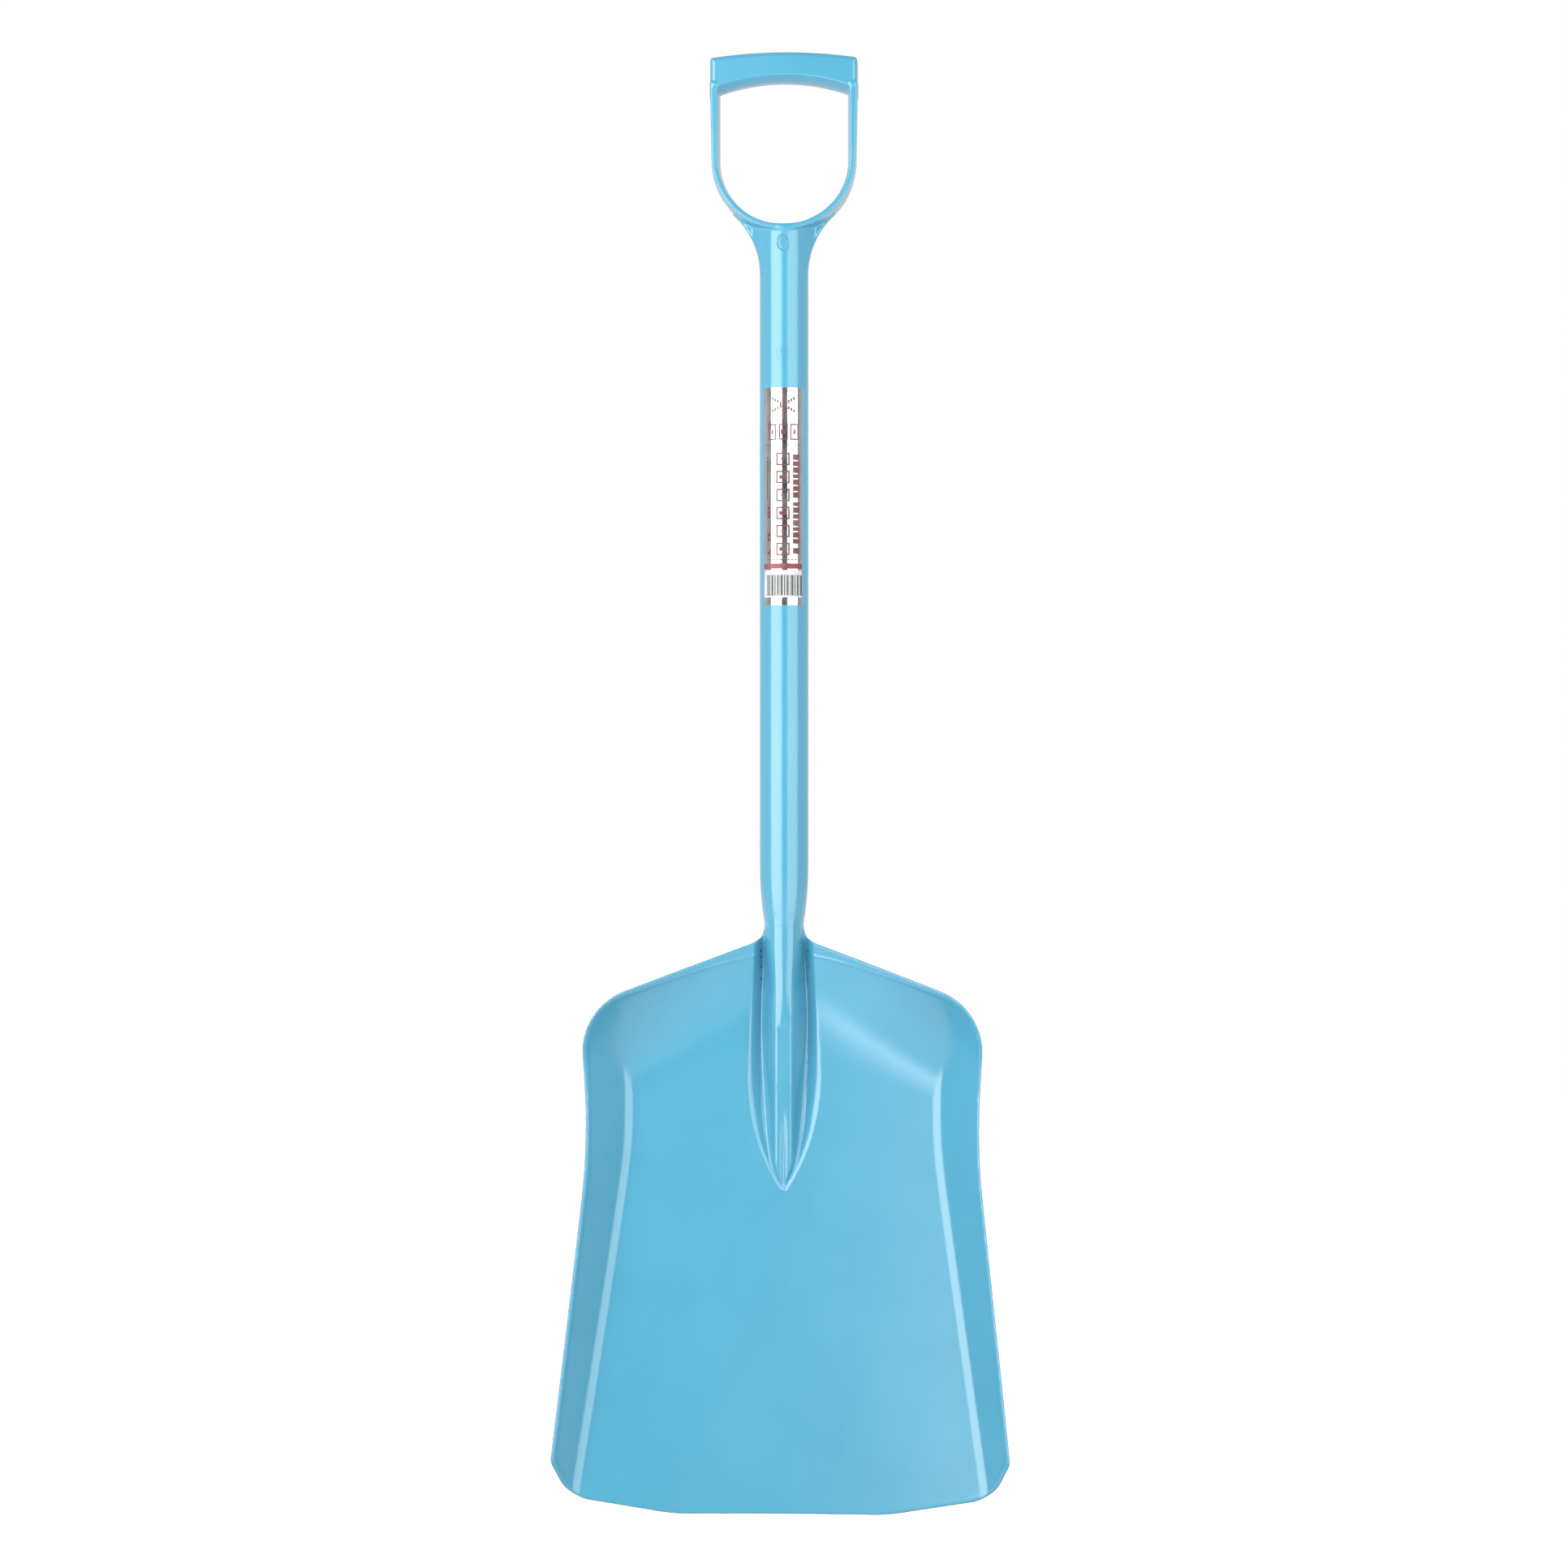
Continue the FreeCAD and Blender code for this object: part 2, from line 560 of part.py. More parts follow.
def is_end_corner(edge):
    """One of the two upper corners, which run front to back."""
    box = edge.BoundBox
    return box.YLength > GRIP_HALF_DEPTH and box.ZMin > ARM_HEAD + BAR_HEIGHT / 2


def is_top_edge(edge):
    """One of the two long arched edges on top."""
    box = edge.BoundBox
    return box.XLength > GRIP_HALF_WIDTH and box.YLength < 1e-6 and box.ZMin > ARM_HEAD + BAR_HEIGHT / 2


def sector(inner, outer, left, right):
    """A curved plate round the front of the shaft between two angles, the label's full length."""
    top = SHAFT_HEAD - LABEL_TOP_DROP
    low = Vec(0, 0, top - LABEL_LENGTH)
    turn = left + right
    plate = Part.makeCylinder(outer, LABEL_LENGTH, low, Vec(0, 0, 1), turn)
    plate = plate.cut(Part.makeCylinder(inner, LABEL_LENGTH, low))
    plate.rotate(Vec(0, 0, 0), Vec(0, 0, 1), -90.0 - left)
    return plate


def label_foil():
    return sector(SHAFT_RADIUS, SHAFT_RADIUS + FOIL_THICKNESS, LABEL_HALF_TURN, LABEL_HALF_TURN)


def label_film():
    outer = SHAFT_RADIUS + FOIL_THICKNESS + FILM_THICKNESS
    return sector(SHAFT_RADIUS, outer, LABEL_HALF_TURN, LABEL_HALF_TURN + FILM_MARGIN).cut(label_foil())


def build():
    rim_left, rim_right = rims()
    return {
        "grip_bar": grip_bar(),
        "grip_arm_left": grip_arm(-1),
        "grip_arm_right": grip_arm(1),
        "yoke_bow": yoke_bow(),
        "yoke_stem": yoke_stem(),
        "yoke_web_left": yoke_web(-1),
        "yoke_web_right": yoke_web(1),
        "gas_port_plug": plug_solid(),
        "shaft_tube": shaft_tube(),
        "neck": neck(),
        "blade_frog": blade_frog(),
        "blade_pan": blade_pan(),
        "rim_left": rim_left,
        "rim_right": rim_right,
        "label_foil": label_foil(),
        "label_film": label_film(),
    }


def main():
    os.makedirs(PARTS, exist_ok=True)
    for name, shape in build().items():
        solids = shape.Solids
        print(name, "solids", len(solids), "valid", shape.isValid(), "cm3", round(shape.Volume / 1000, 2))
        shape.exportStep(PARTS + "/" + name + ".step")


main()
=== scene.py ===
"""Looks for the one-piece D-grip snow shovel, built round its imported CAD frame.

The plastic body is one moulding. Its surface is described by distance fields in millimetres, meshed on a grid,
and drawn onto the exact surface, with shading normals taken from the fields. It is then parted into pieces.
"""
import bmesh
import bpy
import math
import numpy as np
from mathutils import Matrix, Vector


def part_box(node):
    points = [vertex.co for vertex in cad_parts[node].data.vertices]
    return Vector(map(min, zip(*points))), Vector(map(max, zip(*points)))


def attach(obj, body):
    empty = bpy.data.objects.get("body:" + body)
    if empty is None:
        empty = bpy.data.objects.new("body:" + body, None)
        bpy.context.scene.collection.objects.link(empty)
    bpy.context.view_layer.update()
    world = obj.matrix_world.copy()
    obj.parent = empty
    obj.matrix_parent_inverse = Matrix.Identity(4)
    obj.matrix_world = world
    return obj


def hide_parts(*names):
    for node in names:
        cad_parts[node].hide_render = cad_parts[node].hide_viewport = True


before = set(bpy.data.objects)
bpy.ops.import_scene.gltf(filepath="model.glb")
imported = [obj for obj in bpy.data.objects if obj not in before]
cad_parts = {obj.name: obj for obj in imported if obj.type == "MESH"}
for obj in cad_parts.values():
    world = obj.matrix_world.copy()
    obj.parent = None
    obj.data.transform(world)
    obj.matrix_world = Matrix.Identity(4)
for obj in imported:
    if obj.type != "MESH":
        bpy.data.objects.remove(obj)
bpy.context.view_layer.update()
MM = 0.001


def cad(node, top, axis):
    """One side of a CAD node's box, in millimetres."""
    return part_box(node)[int(top)][axis] / MM


# ---------------------------------------------------------------- sizes, in millimetres
SHAFT_R = cad("shaft_tube", True, 0)
SHAFT_FOOT = cad("shaft_tube", False, 2)
SHAFT_HEAD = cad("shaft_tube", True, 2)
NECK_FOOT = cad("neck", False, 2)
LIP = cad("blade_pan", False, 2)
BOW_CENTRE = cad("grip_arm_left", False, 2)
ARM_HEAD = cad("grip_arm_left", True, 2)
BAR_TOP = cad("grip_bar", True, 2)
GRIP_HALF = cad("grip_bar", True, 0)
GRIP_DEPTH = cad("grip_bar", True, 1)
STEM_R = cad("yoke_stem", True, 0)

NECK_HALF_WIDTH, NECK_HALF_DEPTH, NECK_WAIST_RISE = 14.4, 16.5, 12.0
CORNER_HALF_WIDTH, CORNER_RISE, CORNER_R = 169.3, 40.6, 14.0
LIP_END_HALF_WIDTH, LIP_END_RISE, LIP_END_R = 156.1, 12.8, 30.0
LIP_HALF_WIDTH, LIP_BLEND_R = 79.0, 150.0
WAIST_HALF_WIDTH, WAIST_R, WAIST_BEND = 145.8, 500.0, 20.0
SHOULDER_HALF_WIDTH, SHOULDER_R = 151.5, 48.0
SHOULDER_SLOPE = math.radians(20.2)
APEX = NECK_FOOT + 8.9
WAIST = NECK_FOOT - 151.0
BACK_WALL_FOOT = APEX - 80.0
SHOULDER_CORNER = APEX - SHOULDER_HALF_WIDTH * math.tan(SHOULDER_SLOPE)
WALL = 4.2
FLOOR_REACH = 2.9
LIP_SLOPE, BACK_SLOPE = math.tan(math.radians(17)), math.tan(math.radians(7))
CROSS_DISH = 0.0004
SIDE_ANGLE, SIDE_FILLET = math.radians(42), 13.0
SIDE_WIDTH_BACK, SIDE_WIDTH_LIP = 37.4, 24.1
BACK_REACH, BACK_CORNER_REACH = 13.0, 28.0
EDGE_ROUND = 1.5
RIM_WIDTH, RIM_WIDTH_EXTRA, RIM_PROUD = 3.0, 7.0, 0.8
RIDGE_PROUD, RIDGE_HALF = 0.35, 1.1
FROG_LENGTH, FROG_HALF, FROG_TOP_HALF, FROG_DROP = 186.0, 25.9, 20.6, 99.0
FROG_TIP = NECK_FOOT - FROG_LENGTH
SOCKET_DEPTH, SOCKET_REACH, SOCKET_SHELF, SOCKET_WALL_SHARE = 9.5, 2.5, 9.5, 0.7
SPINE_FOOT = NECK_FOOT - 62.0             # where the round neck has sunk into the spine
SPINE_SUNK, SPINE_FLAT_HALF, SPINE_FALL, SPINE_ROUND = 2.6, 5.2, 2.3, 2.4
TIP_GROOVE_DEPTH, TIP_GROOVE_HALF = 1.6, 1.5
ROOT_HALF_WIDTH, ROOT_DROP, ROOT_ROUND, ROOT_FILLET, NECK_FILLET = 11.5, 20.0, 4.0, 14.0, 4.0
SHAFT_WALL = 7.0
BOW_IN, BOW_OUT = 48.4, 55.2
BOW_DEPTH = 19.5
BAR_TOP_R, BAR_BOTTOM_R = 378.6, 146.5
BAR_BELLY = 5.0
HOOP_DRAFT_IN, HOOP_DRAFT_OUT = 0.10, 0.05
PLUG_HALF_WIDTH, PLUG_HALF_HEIGHT, PLUG_PROUD = 3.7, 5.5, 0.3
PLUG_Z = SHAFT_HEAD + 23.9
WEB_R, WEB_HALF, WEB_SLOPE, WEB_THIN, WEB_MOST_EXTRA = 64.0, 3.0, 0.85, 24.8, 8.3

# mesh grids in millimetres, the share of faces kept, and the reach of the shading normals
BLADE_CELL, BLADE_KEEP, BLADE_SHADING = 1.25, 0.45, 0.25
GRIP_CELL, GRIP_KEEP, GRIP_SHADING = 0.55, 1, 0.45
SHARP_ANGLE = math.radians(40)


# ---------------------------------------------------------------- field helpers
def carve(a, b, r):
    """What is inside both fields, with its edge rounded by r."""
    return np.minimum(np.maximum(a, b), -r) + np.hypot(np.maximum(a + r, 0), np.maximum(b + r, 0))


def join(a, b, r):
    """What is inside either field, with a fillet of r between them."""
    return -carve(-a, -b, r)


def soft_abs(v, r):
    """|v| with its corner at 0 rounded, and 0 at 0."""
    return np.sqrt(v * v + r * r) - r


def step(v, start, end):
    """0 before start, 1 after end, smooth between."""
    t = np.clip((v - start) / (end - start), 0, 1)
    return t * t * (3 - 2 * t)


def tilt(face, a, z, h):
    """How much longer a sheet's face is than its shadow along y, from differences over h."""
    across = (face(a + h, z) - face(np.abs(a - h), z)) / (2 * h)
    along = (face(a, z + h) - face(a, z - h)) / (2 * h)
    return np.sqrt(1 + across ** 2 + along ** 2)


def oval(u, w, half_u, half_w):
    """Near distance to an oval's edge, below 0 inside."""
    ring = np.sqrt((u / half_u) ** 2 + (w / half_w) ** 2)
    slope = np.sqrt((u / half_u ** 2) ** 2 + (w / half_w ** 2) ** 2) / np.maximum(ring, 1e-6)
    return (ring - 1) / np.maximum(slope, 1e-6)


def outline_pieces(corners):
    """Lines and arcs of a path through (x, z, radius) corners, each corner rounded by a tangent arc."""
    pieces = []
    here = np.array(corners[0][:2], float)
    for i in range(1, len(corners) - 1):
        c = np.array(corners[i][:2], float)
        r = corners[i][2]
        back = np.array(corners[i - 1][:2], float) - c
        on = np.array(corners[i + 1][:2], float) - c
        back /= np.linalg.norm(back)
        on /= np.linalg.norm(on)
        half = math.acos(float(np.clip(back @ on, -1, 1))) / 2
        middle = (back + on) / np.linalg.norm(back + on)
        start, end = c + back * r / math.tan(half), c + on * r / math.tan(half)
        convex = back[0] * on[1] - back[1] * on[0] > 0
        pieces.append(("line", here, start))
        pieces.append(("arc", c + middle * r / math.sin(half), r, -middle, math.pi / 2 - half, convex))
        here = end
    pieces.append(("line", here, np.array(corners[-1][:2], float)))
    return pieces


OUTLINE = outline_pieces([
    (0, APEX, 0),
    (SHOULDER_HALF_WIDTH, SHOULDER_CORNER, SHOULDER_R),
    (WAIST_HALF_WIDTH, WAIST, WAIST_R),
    (CORNER_HALF_WIDTH, LIP + CORNER_RISE, CORNER_R),
    (LIP_END_HALF_WIDTH, LIP + LIP_END_RISE, LIP_END_R),
    (LIP_HALF_WIDTH, LIP, LIP_BLEND_R),
    (0, LIP, 0),
])


def blade_outline(a, z):
    """Signed distance to the blade's outline in the XZ plane, for a = |x|."""
    best = np.full(np.broadcast(a, z).shape, 1e9)
    signed = np.zeros_like(best)
    for p in OUTLINE:
        if p[0] == "line":
            along = p[2] - p[1]
            length = float(np.linalg.norm(along))
            tx, tz = along / length
            u = (a - p[1][0]) * tx + (z - p[1][1]) * tz
            across = -((a - p[1][0]) * tz - (z - p[1][1]) * tx)
            past = u - np.clip(u, 0, length)
            far = np.hypot(across, past)
            value = across
        else:
            _, centre, r, out, half, convex = p
            dx, dz = a - centre[0], z - centre[1]
            span = np.hypot(dx, dz)
            in_sector = dx * out[0] + dz * out[1] >= math.cos(half) * span
            value = (span - r) if convex else (r - span)
            far = np.where(in_sector, np.abs(value), 1e8)
        nearer = far < best - 1e-9
        best = np.where(nearer, far, best)
        signed = np.where(nearer, np.where(value < 0, -far, far), signed)
    return signed


# ---------------------------------------------------------------- blade, frog and neck
def side_edge(z):
    """Half width of the blade at its straight sides, which bend at the waist."""
    above = (SHOULDER_HALF_WIDTH - WAIST_HALF_WIDTH) / (SHOULDER_CORNER - WAIST)
    below = (CORNER_HALF_WIDTH - WAIST_HALF_WIDTH) / (WAIST - LIP - CORNER_RISE)
    up = z - WAIST
    bend = 0.5 * np.hypot(up, WAIST_BEND)
    return WAIST_HALF_WIDTH + above * (bend + up / 2) + below * (bend - up / 2)


def load_face(a, z):
    """y of the sheet's front: a floor that lifts to the lip, side walls and a back wall."""
    down = BACK_WALL_FOOT - z
    easing = (LIP_SLOPE - BACK_SLOPE) / (2 * (BACK_WALL_FOOT - LIP))
    floor = -FLOOR_REACH - BACK_SLOPE * down - easing * down * down - CROSS_DISH * a * a
    share = (z - LIP) / (BACK_WALL_FOOT - LIP)
    inwards = SIDE_WIDTH_LIP + (SIDE_WIDTH_BACK - SIDE_WIDTH_LIP) * share - side_edge(z) + a
    turned = SIDE_FILLET * math.sin(SIDE_ANGLE)
    bent = np.clip(inwards, 0, turned)
    side = SIDE_FILLET - np.sqrt(SIDE_FILLET ** 2 - bent ** 2)
    side = side + np.maximum(inwards - turned, 0) * math.tan(SIDE_ANGLE)
    drop = (APEX - a * math.tan(SHOULDER_SLOPE) - z) * math.cos(SHOULDER_SLOPE)
    outwards = np.minimum(a / (SHOULDER_HALF_WIDTH - SHOULDER_R), 1.5)
    reach = BACK_REACH + (BACK_CORNER_REACH - BACK_REACH) * outwards ** 2
    back = reach * np.maximum(1 - drop / (APEX - BACK_WALL_FOOT), 0) ** 2
    return floor - np.hypot(side, back)


def rear_face(a, z):
    """y of the sheet's back, an even wall behind the load face."""
    return load_face(a, z) + WALL * tilt(load_face, a, z, 0.5)


def frog_half(z):
    """Half width of the frog: an arc from its tip to its widest, then a straight taper to the neck."""
    widest = NECK_FOOT - FROG_DROP
    tall = widest - FROG_TIP
    r = (tall ** 2 + FROG_HALF ** 2) / (2 * FROG_HALF)
    below = np.clip(widest - z, 0, tall)
    arc = FROG_HALF - r + np.sqrt(r ** 2 - below ** 2)
    line = FROG_HALF + (FROG_TOP_HALF - FROG_HALF) * (z - widest) / FROG_DROP
    return np.where(z >= widest, line, arc)


def front_face(a, z):
    """The load face with the frog's socket sunk into it and the spine standing in the socket."""
    load = load_face(a, z)
    half = frog_half(z)
    share = np.clip((z - FROG_TIP) / FROG_LENGTH, 0, 1)
    rim = half + SOCKET_REACH
    wall = np.maximum(SOCKET_WALL_SHARE * (rim - SOCKET_SHELF * step(share, 0.0, 0.25)), 0.5)
    socket = load + SOCKET_DEPTH * share ** 0.6 * step(rim - a, 0.0, wall)
    tip = load_face(0.0, FROG_TIP)
    crest = tip + (-NECK_HALF_DEPTH - tip) * share
    crest = crest + SPINE_SUNK * step(z, SPINE_FOOT, NECK_FOOT - 4.0)
    flat = SPINE_FLAT_HALF * step(share, 0.0, 0.12)
    groove = TIP_GROOVE_DEPTH * np.exp(-(a / TIP_GROOVE_HALF) ** 2)
    groove = groove * step(share, 0.0, 0.03) * (1 - step(share, 0.12, 0.36))
    spine = crest + groove + SPINE_FALL * soft_abs(np.maximum(a - flat, 0), SPINE_ROUND)
    melt = 0.2 + 4.3 * step(share, 0.0, 0.15)
    blend = np.clip(0.5 + 0.5 * (socket - spine) / melt, 0, 1)
    met = socket + (spine - socket) * blend - melt * blend * (1 - blend)
    return np.where(share > 0, met, load)


def back_face(a, z):
    """The sheet's back, with the keel behind the frog."""
    share = np.clip((z - FROG_TIP) / FROG_LENGTH, 0, 1)
    across = np.clip(a / np.maximum(frog_half(z) + 1.0, 1.0), 0, 1)
    top = rear_face(0.0, NECK_FOOT)
    keel = (NECK_HALF_DEPTH - top) * share ** 0.9
    return rear_face(a, z) + keel * (1 - across ** 2) ** 1.5


def rim_parts(a, z, edge):
    """The thickened rim behind, 1 on it and 0 inside it, and the fine ridge that bounds it in front.

    The rim is wide beside the neck, narrow at the corners, and dies out at the lip.
    """
    on_shoulder = step(z, SHOULDER_CORNER - 40, SHOULDER_CORNER + 5)
    width = RIM_WIDTH + RIM_WIDTH_EXTRA * on_shoulder * np.exp(-np.maximum(a - FROG_TOP_HALF, 0) / 37.0)
    there = step(z, LIP + 4, LIP + 40) * step(a, FROG_TOP_HALF - 2, FROG_TOP_HALF + 1)
    band = (1 - step(-edge, width - 0.6, width + 0.8)) * there
    return band, np.exp(-((edge + width) / RIDGE_HALF) ** 2) * there


def blade_field(x, y, z):
    """The blade, its frog and the neck, as one body."""
    a = np.hypot(x, 0.4)
    edge = blade_outline(a, z)
    edge = join(edge, carve(a - ROOT_HALF_WIDTH, NECK_FOOT - ROOT_DROP - z, ROOT_ROUND), ROOT_FILLET)
    rim, ridge = rim_parts(a, z, edge)
    front = front_face(a, z) - RIDGE_PROUD * ridge
    back = back_face(a, z) + RIM_PROUD * rim
    sheet = np.maximum((front - y) / tilt(front_face, a, z, 0.4), (y - back) / tilt(back_face, a, z, 0.4))
    sheet = carve(sheet, edge, EDGE_ROUND)
    sheet = carve(sheet, z - (NECK_FOOT + 17.0), 3.0)
    return join(sheet, barrel_field(x, y, z), NECK_FILLET)


def barrel_field(x, y, z):
    """The neck from the shaft's end, thinning into the spine below."""
    share = np.clip((SHAFT_FOOT - z) / (SHAFT_FOOT - NECK_FOOT - NECK_WAIST_RISE), 0, 1)
    fade = 1 - share ** 2
    sunk = step(NECK_FOOT - z, -6.0, 60.0)
    half_width = NECK_HALF_WIDTH + (SHAFT_R - NECK_HALF_WIDTH) * fade - 10.0 * sunk
    half_depth = NECK_HALF_DEPTH + (SHAFT_R - NECK_HALF_DEPTH) * fade - 1.0 * sunk
    return carve(oval(x, y, half_width, half_depth), SPINE_FOOT - z, 2.0)


# ---------------------------------------------------------------- grip and yoke
def web_meet():
    """Where the web's hollow edge meets the outside of the bow."""
    centre_x, gap = STEM_R + WEB_R, BOW_CENTRE - SHAFT_HEAD
    span = math.hypot(centre_x, gap)
    along = (WEB_R ** 2 - BOW_OUT ** 2 + span ** 2) / (2 * span)
    off = math.sqrt(max(WEB_R ** 2 - along ** 2, 0))
    x = centre_x - (along * centre_x + off * gap) / span
    return x, SHAFT_HEAD + (along * gap - off * centre_x) / span


WEB_MEET_X, WEB_MEET_Z = web_meet()


def grip_field(x, y, z):
    """The hand grip, its bow, the stem and the webs beside it, as one body."""
    a = np.hypot(x, 0.3)
    depth = np.hypot(y, 0.8)
    sag = BAR_BOTTOM_R - math.sqrt(BAR_BOTTOM_R ** 2 - BOW_IN ** 2)
    top = np.hypot(x, z - (BAR_TOP - BAR_TOP_R)) - BAR_TOP_R
    belly = BAR_BELLY * (y / GRIP_DEPTH) ** 2
    belly = belly + 0.5 * np.exp(-((depth - GRIP_DEPTH + 1.9) / 0.7) ** 2)
    under = BAR_BOTTOM_R + belly - np.hypot(x, z - (ARM_HEAD + sag - BAR_BOTTOM_R))
    bar = carve(carve(top, a - GRIP_HALF + HOOP_DRAFT_OUT * depth, 2.4), depth - GRIP_DEPTH, 3.6)
    bar = carve(bar, under, 0.8)

    bow_low = BOW_CENTRE - BOW_IN
    slope = (BOW_DEPTH - GRIP_DEPTH) / (ARM_HEAD - bow_low)
    half_depth = BOW_DEPTH - slope * np.clip(z - bow_low, 0, ARM_HEAD - bow_low)
    out = np.where(z < BOW_CENTRE, np.hypot(x, z - BOW_CENTRE), np.abs(x))
    widen = (GRIP_HALF - BOW_OUT) / (ARM_HEAD - BOW_CENTRE)
    outer = BOW_OUT + widen * np.clip(z - BOW_CENTRE, 0, ARM_HEAD - BOW_CENTRE) - HOOP_DRAFT_OUT * depth
    inner = BOW_IN + HOOP_DRAFT_IN * depth
    hoop = np.maximum(inner - out, out - outer)
    hoop = carve(hoop, depth - half_depth, 1.1)
    hoop = carve(hoop, z - (ARM_HEAD + 8.0), 1.5)

    stem = np.hypot(x, y) - (STEM_R + (SHAFT_R - STEM_R) * (1 - step(z, SHAFT_HEAD, SHAFT_HEAD + 12)))
    plug_edge = oval(x, z - PLUG_Z, PLUG_HALF_WIDTH, PLUG_HALF_HEIGHT)
    stem = stem + 0.55 * np.exp(-((plug_edge - 0.35) / 0.45) ** 2) * (y < 0)
    stem = carve(stem, BOW_IN + 2.0 - np.hypot(x, z - BOW_CENTRE), 1.0)
    stem = carve(stem, z - BOW_CENTRE, 1.0)

    web_edge = WEB_R - np.hypot(a - STEM_R + 0.7 - WEB_R, z - SHAFT_HEAD)
    web_half = WEB_HALF + np.minimum(WEB_SLOPE * soft_abs(np.maximum(WEB_THIN - a, 0), 1.0), WEB_MOST_EXTRA)
    web = carve(web_edge, (np.abs(y) - web_half) / math.hypot(1, WEB_SLOPE), 1.5)
    web = carve(web, BOW_IN + 2.0 - np.hypot(x, z - BOW_CENTRE), 0.5)
    rise = BOW_CENTRE - WEB_MEET_Z
    above = (a * rise + (z - BOW_CENTRE) * WEB_MEET_X) / math.hypot(WEB_MEET_X, rise)
    web = carve(web, np.maximum(above, SHAFT_HEAD - z), 0.5)
    yoke = join(stem, web, 0.3 + 1.7 * step(z, SHAFT_HEAD + 8, SHAFT_HEAD + 26))
    return join(join(yoke, hoop, 2.0), bar, 1.2)


# ---------------------------------------------------------------- meshing
def net(values, low, cell):
    """Surface net: one vertex in each grid cell that the zero level crosses, one face for each crossed grid edge."""
    inside = values < 0
    count = np.zeros([n - 1 for n in inside.shape], np.uint8)
    corners = [(i, j, k) for i in (0, 1) for j in (0, 1) for k in (0, 1)]

    def window(array, c):
        return array[tuple(slice(start, size - 1 + start) for start, size in zip(c, array.shape))]

    for c in corners:
        count += window(inside, c)
    cells = np.argwhere((count > 0) & (count < 8))
    index = np.full(count.shape, -1, np.int64)
    index[tuple(cells.T)] = np.arange(len(cells))
    corner_values = {c: values[tuple((cells + c).T)] for c in corners}
    total = np.zeros((len(cells), 3))
    weight = np.zeros(len(cells))
    for c in corners:
        for axis in range(3):
            if c[axis]:
                continue
            d = list(c)
            d[axis] = 1
            va, vb = corner_values[c], corner_values[tuple(d)]
            crossed = (va < 0) != (vb < 0)
            t = np.where(crossed, va / np.where(crossed, va - vb, 1), 0)
            point = np.repeat(np.array([c], float), len(cells), 0)
            point[:, axis] += t
            total += point * crossed[:, None]
            weight += crossed
    verts = np.array(low) + (cells + total / weight[:, None]) * cell
    faces = []
    for axis in range(3):
        turned = (axis, (axis + 1) % 3, (axis + 2) % 3)
        first, grid = inside.transpose(turned), index.transpose(turned)
        here, there = first[:-1, 1:-1, 1:-1], first[1:, 1:-1, 1:-1]
        for flip, mask in ((False, here & ~there), (True, ~here & there)):
            i, j, k = np.nonzero(mask)
            quad = np.stack([grid[i, j, k], grid[i, j + 1, k], grid[i, j + 1, k + 1], grid[i, j, k + 1]], 1)
            faces.append(quad[:, ::-1] if flip else quad)
    return verts, np.concatenate(faces)


def gradient(field, p, h=0.04):
    """The field's slope at points, from differences over h."""
    x, y, z = p.T
    return np.stack([
        field(x + h, y, z) - field(x - h, y, z),
        field(x, y + h, z) - field(x, y - h, z),
        field(x, y, z + h) - field(x, y, z - h),
    ], 1) / (2 * h)


def settle(field, p, rounds=3, reach=1.0):
    """Moves points onto the field's zero level."""
    for _ in range(rounds):
        g = gradient(field, p)
        move = -field(*p.T)[:, None] * g / np.maximum((g ** 2).sum(1), 0.05)[:, None]
        length = np.linalg.norm(move, axis=1, keepdims=True)
        p = p + move * np.minimum(1, reach / np.maximum(length, 1e-9))
    return p


def sampled(field, low, high, cell, chunk=24):
    """The field on a grid over x from 0, taken a chunk of layers at a time and mirrored to the whole width."""
    nx = int(math.ceil(high[0] / cell))
    ys = np.arange(low[1], high[1] + cell, cell)
    zs = np.arange(low[2], high[2] + cell, cell)
    half = np.concatenate([
        field(
            (np.arange(start, min(start + chunk, nx + 1)) * cell)[:, None, None],
            ys[None, :, None], zs[None, None, :],
        )
        for start in range(0, nx + 1, chunk)
    ])
    return np.concatenate([half[:0:-1], half]), (-nx * cell, ys[0], zs[0])


def placed(name, data):
    """A new object in the scene."""
    obj = bpy.data.objects.new(name, data)
    bpy.context.scene.collection.objects.link(obj)
    return obj


def points(mesh):
    """The places of a mesh's vertices."""
    co = np.zeros(len(mesh.vertices) * 3, np.float32)
    mesh.vertices.foreach_get("co", co)
    return co.reshape(-1, 3)


def finished(bm, name):
    """A mesh made from a bmesh, which is freed."""
    mesh = bpy.data.meshes.new(name)
    bm.to_mesh(mesh)
    bm.free()
    return mesh


def plain_mesh(name, verts, faces):
    """A mesh from arrays of vertices and faces."""
    mesh = bpy.data.meshes.new(name)
    mesh.vertices.add(len(verts))
    mesh.vertices.foreach_set("co", np.asarray(verts, np.float32).ravel())
    sizes = np.full(len(faces), faces.shape[1])
    mesh.loops.add(faces.size)
    mesh.loops.foreach_set("vertex_index", faces.astype(np.int32).ravel())
    mesh.polygons.add(len(faces))
    mesh.polygons.foreach_set("loop_start", (np.cumsum(sizes) - sizes).astype(np.int32))
    mesh.update(calc_edges=True)
    mesh.validate()
    return mesh


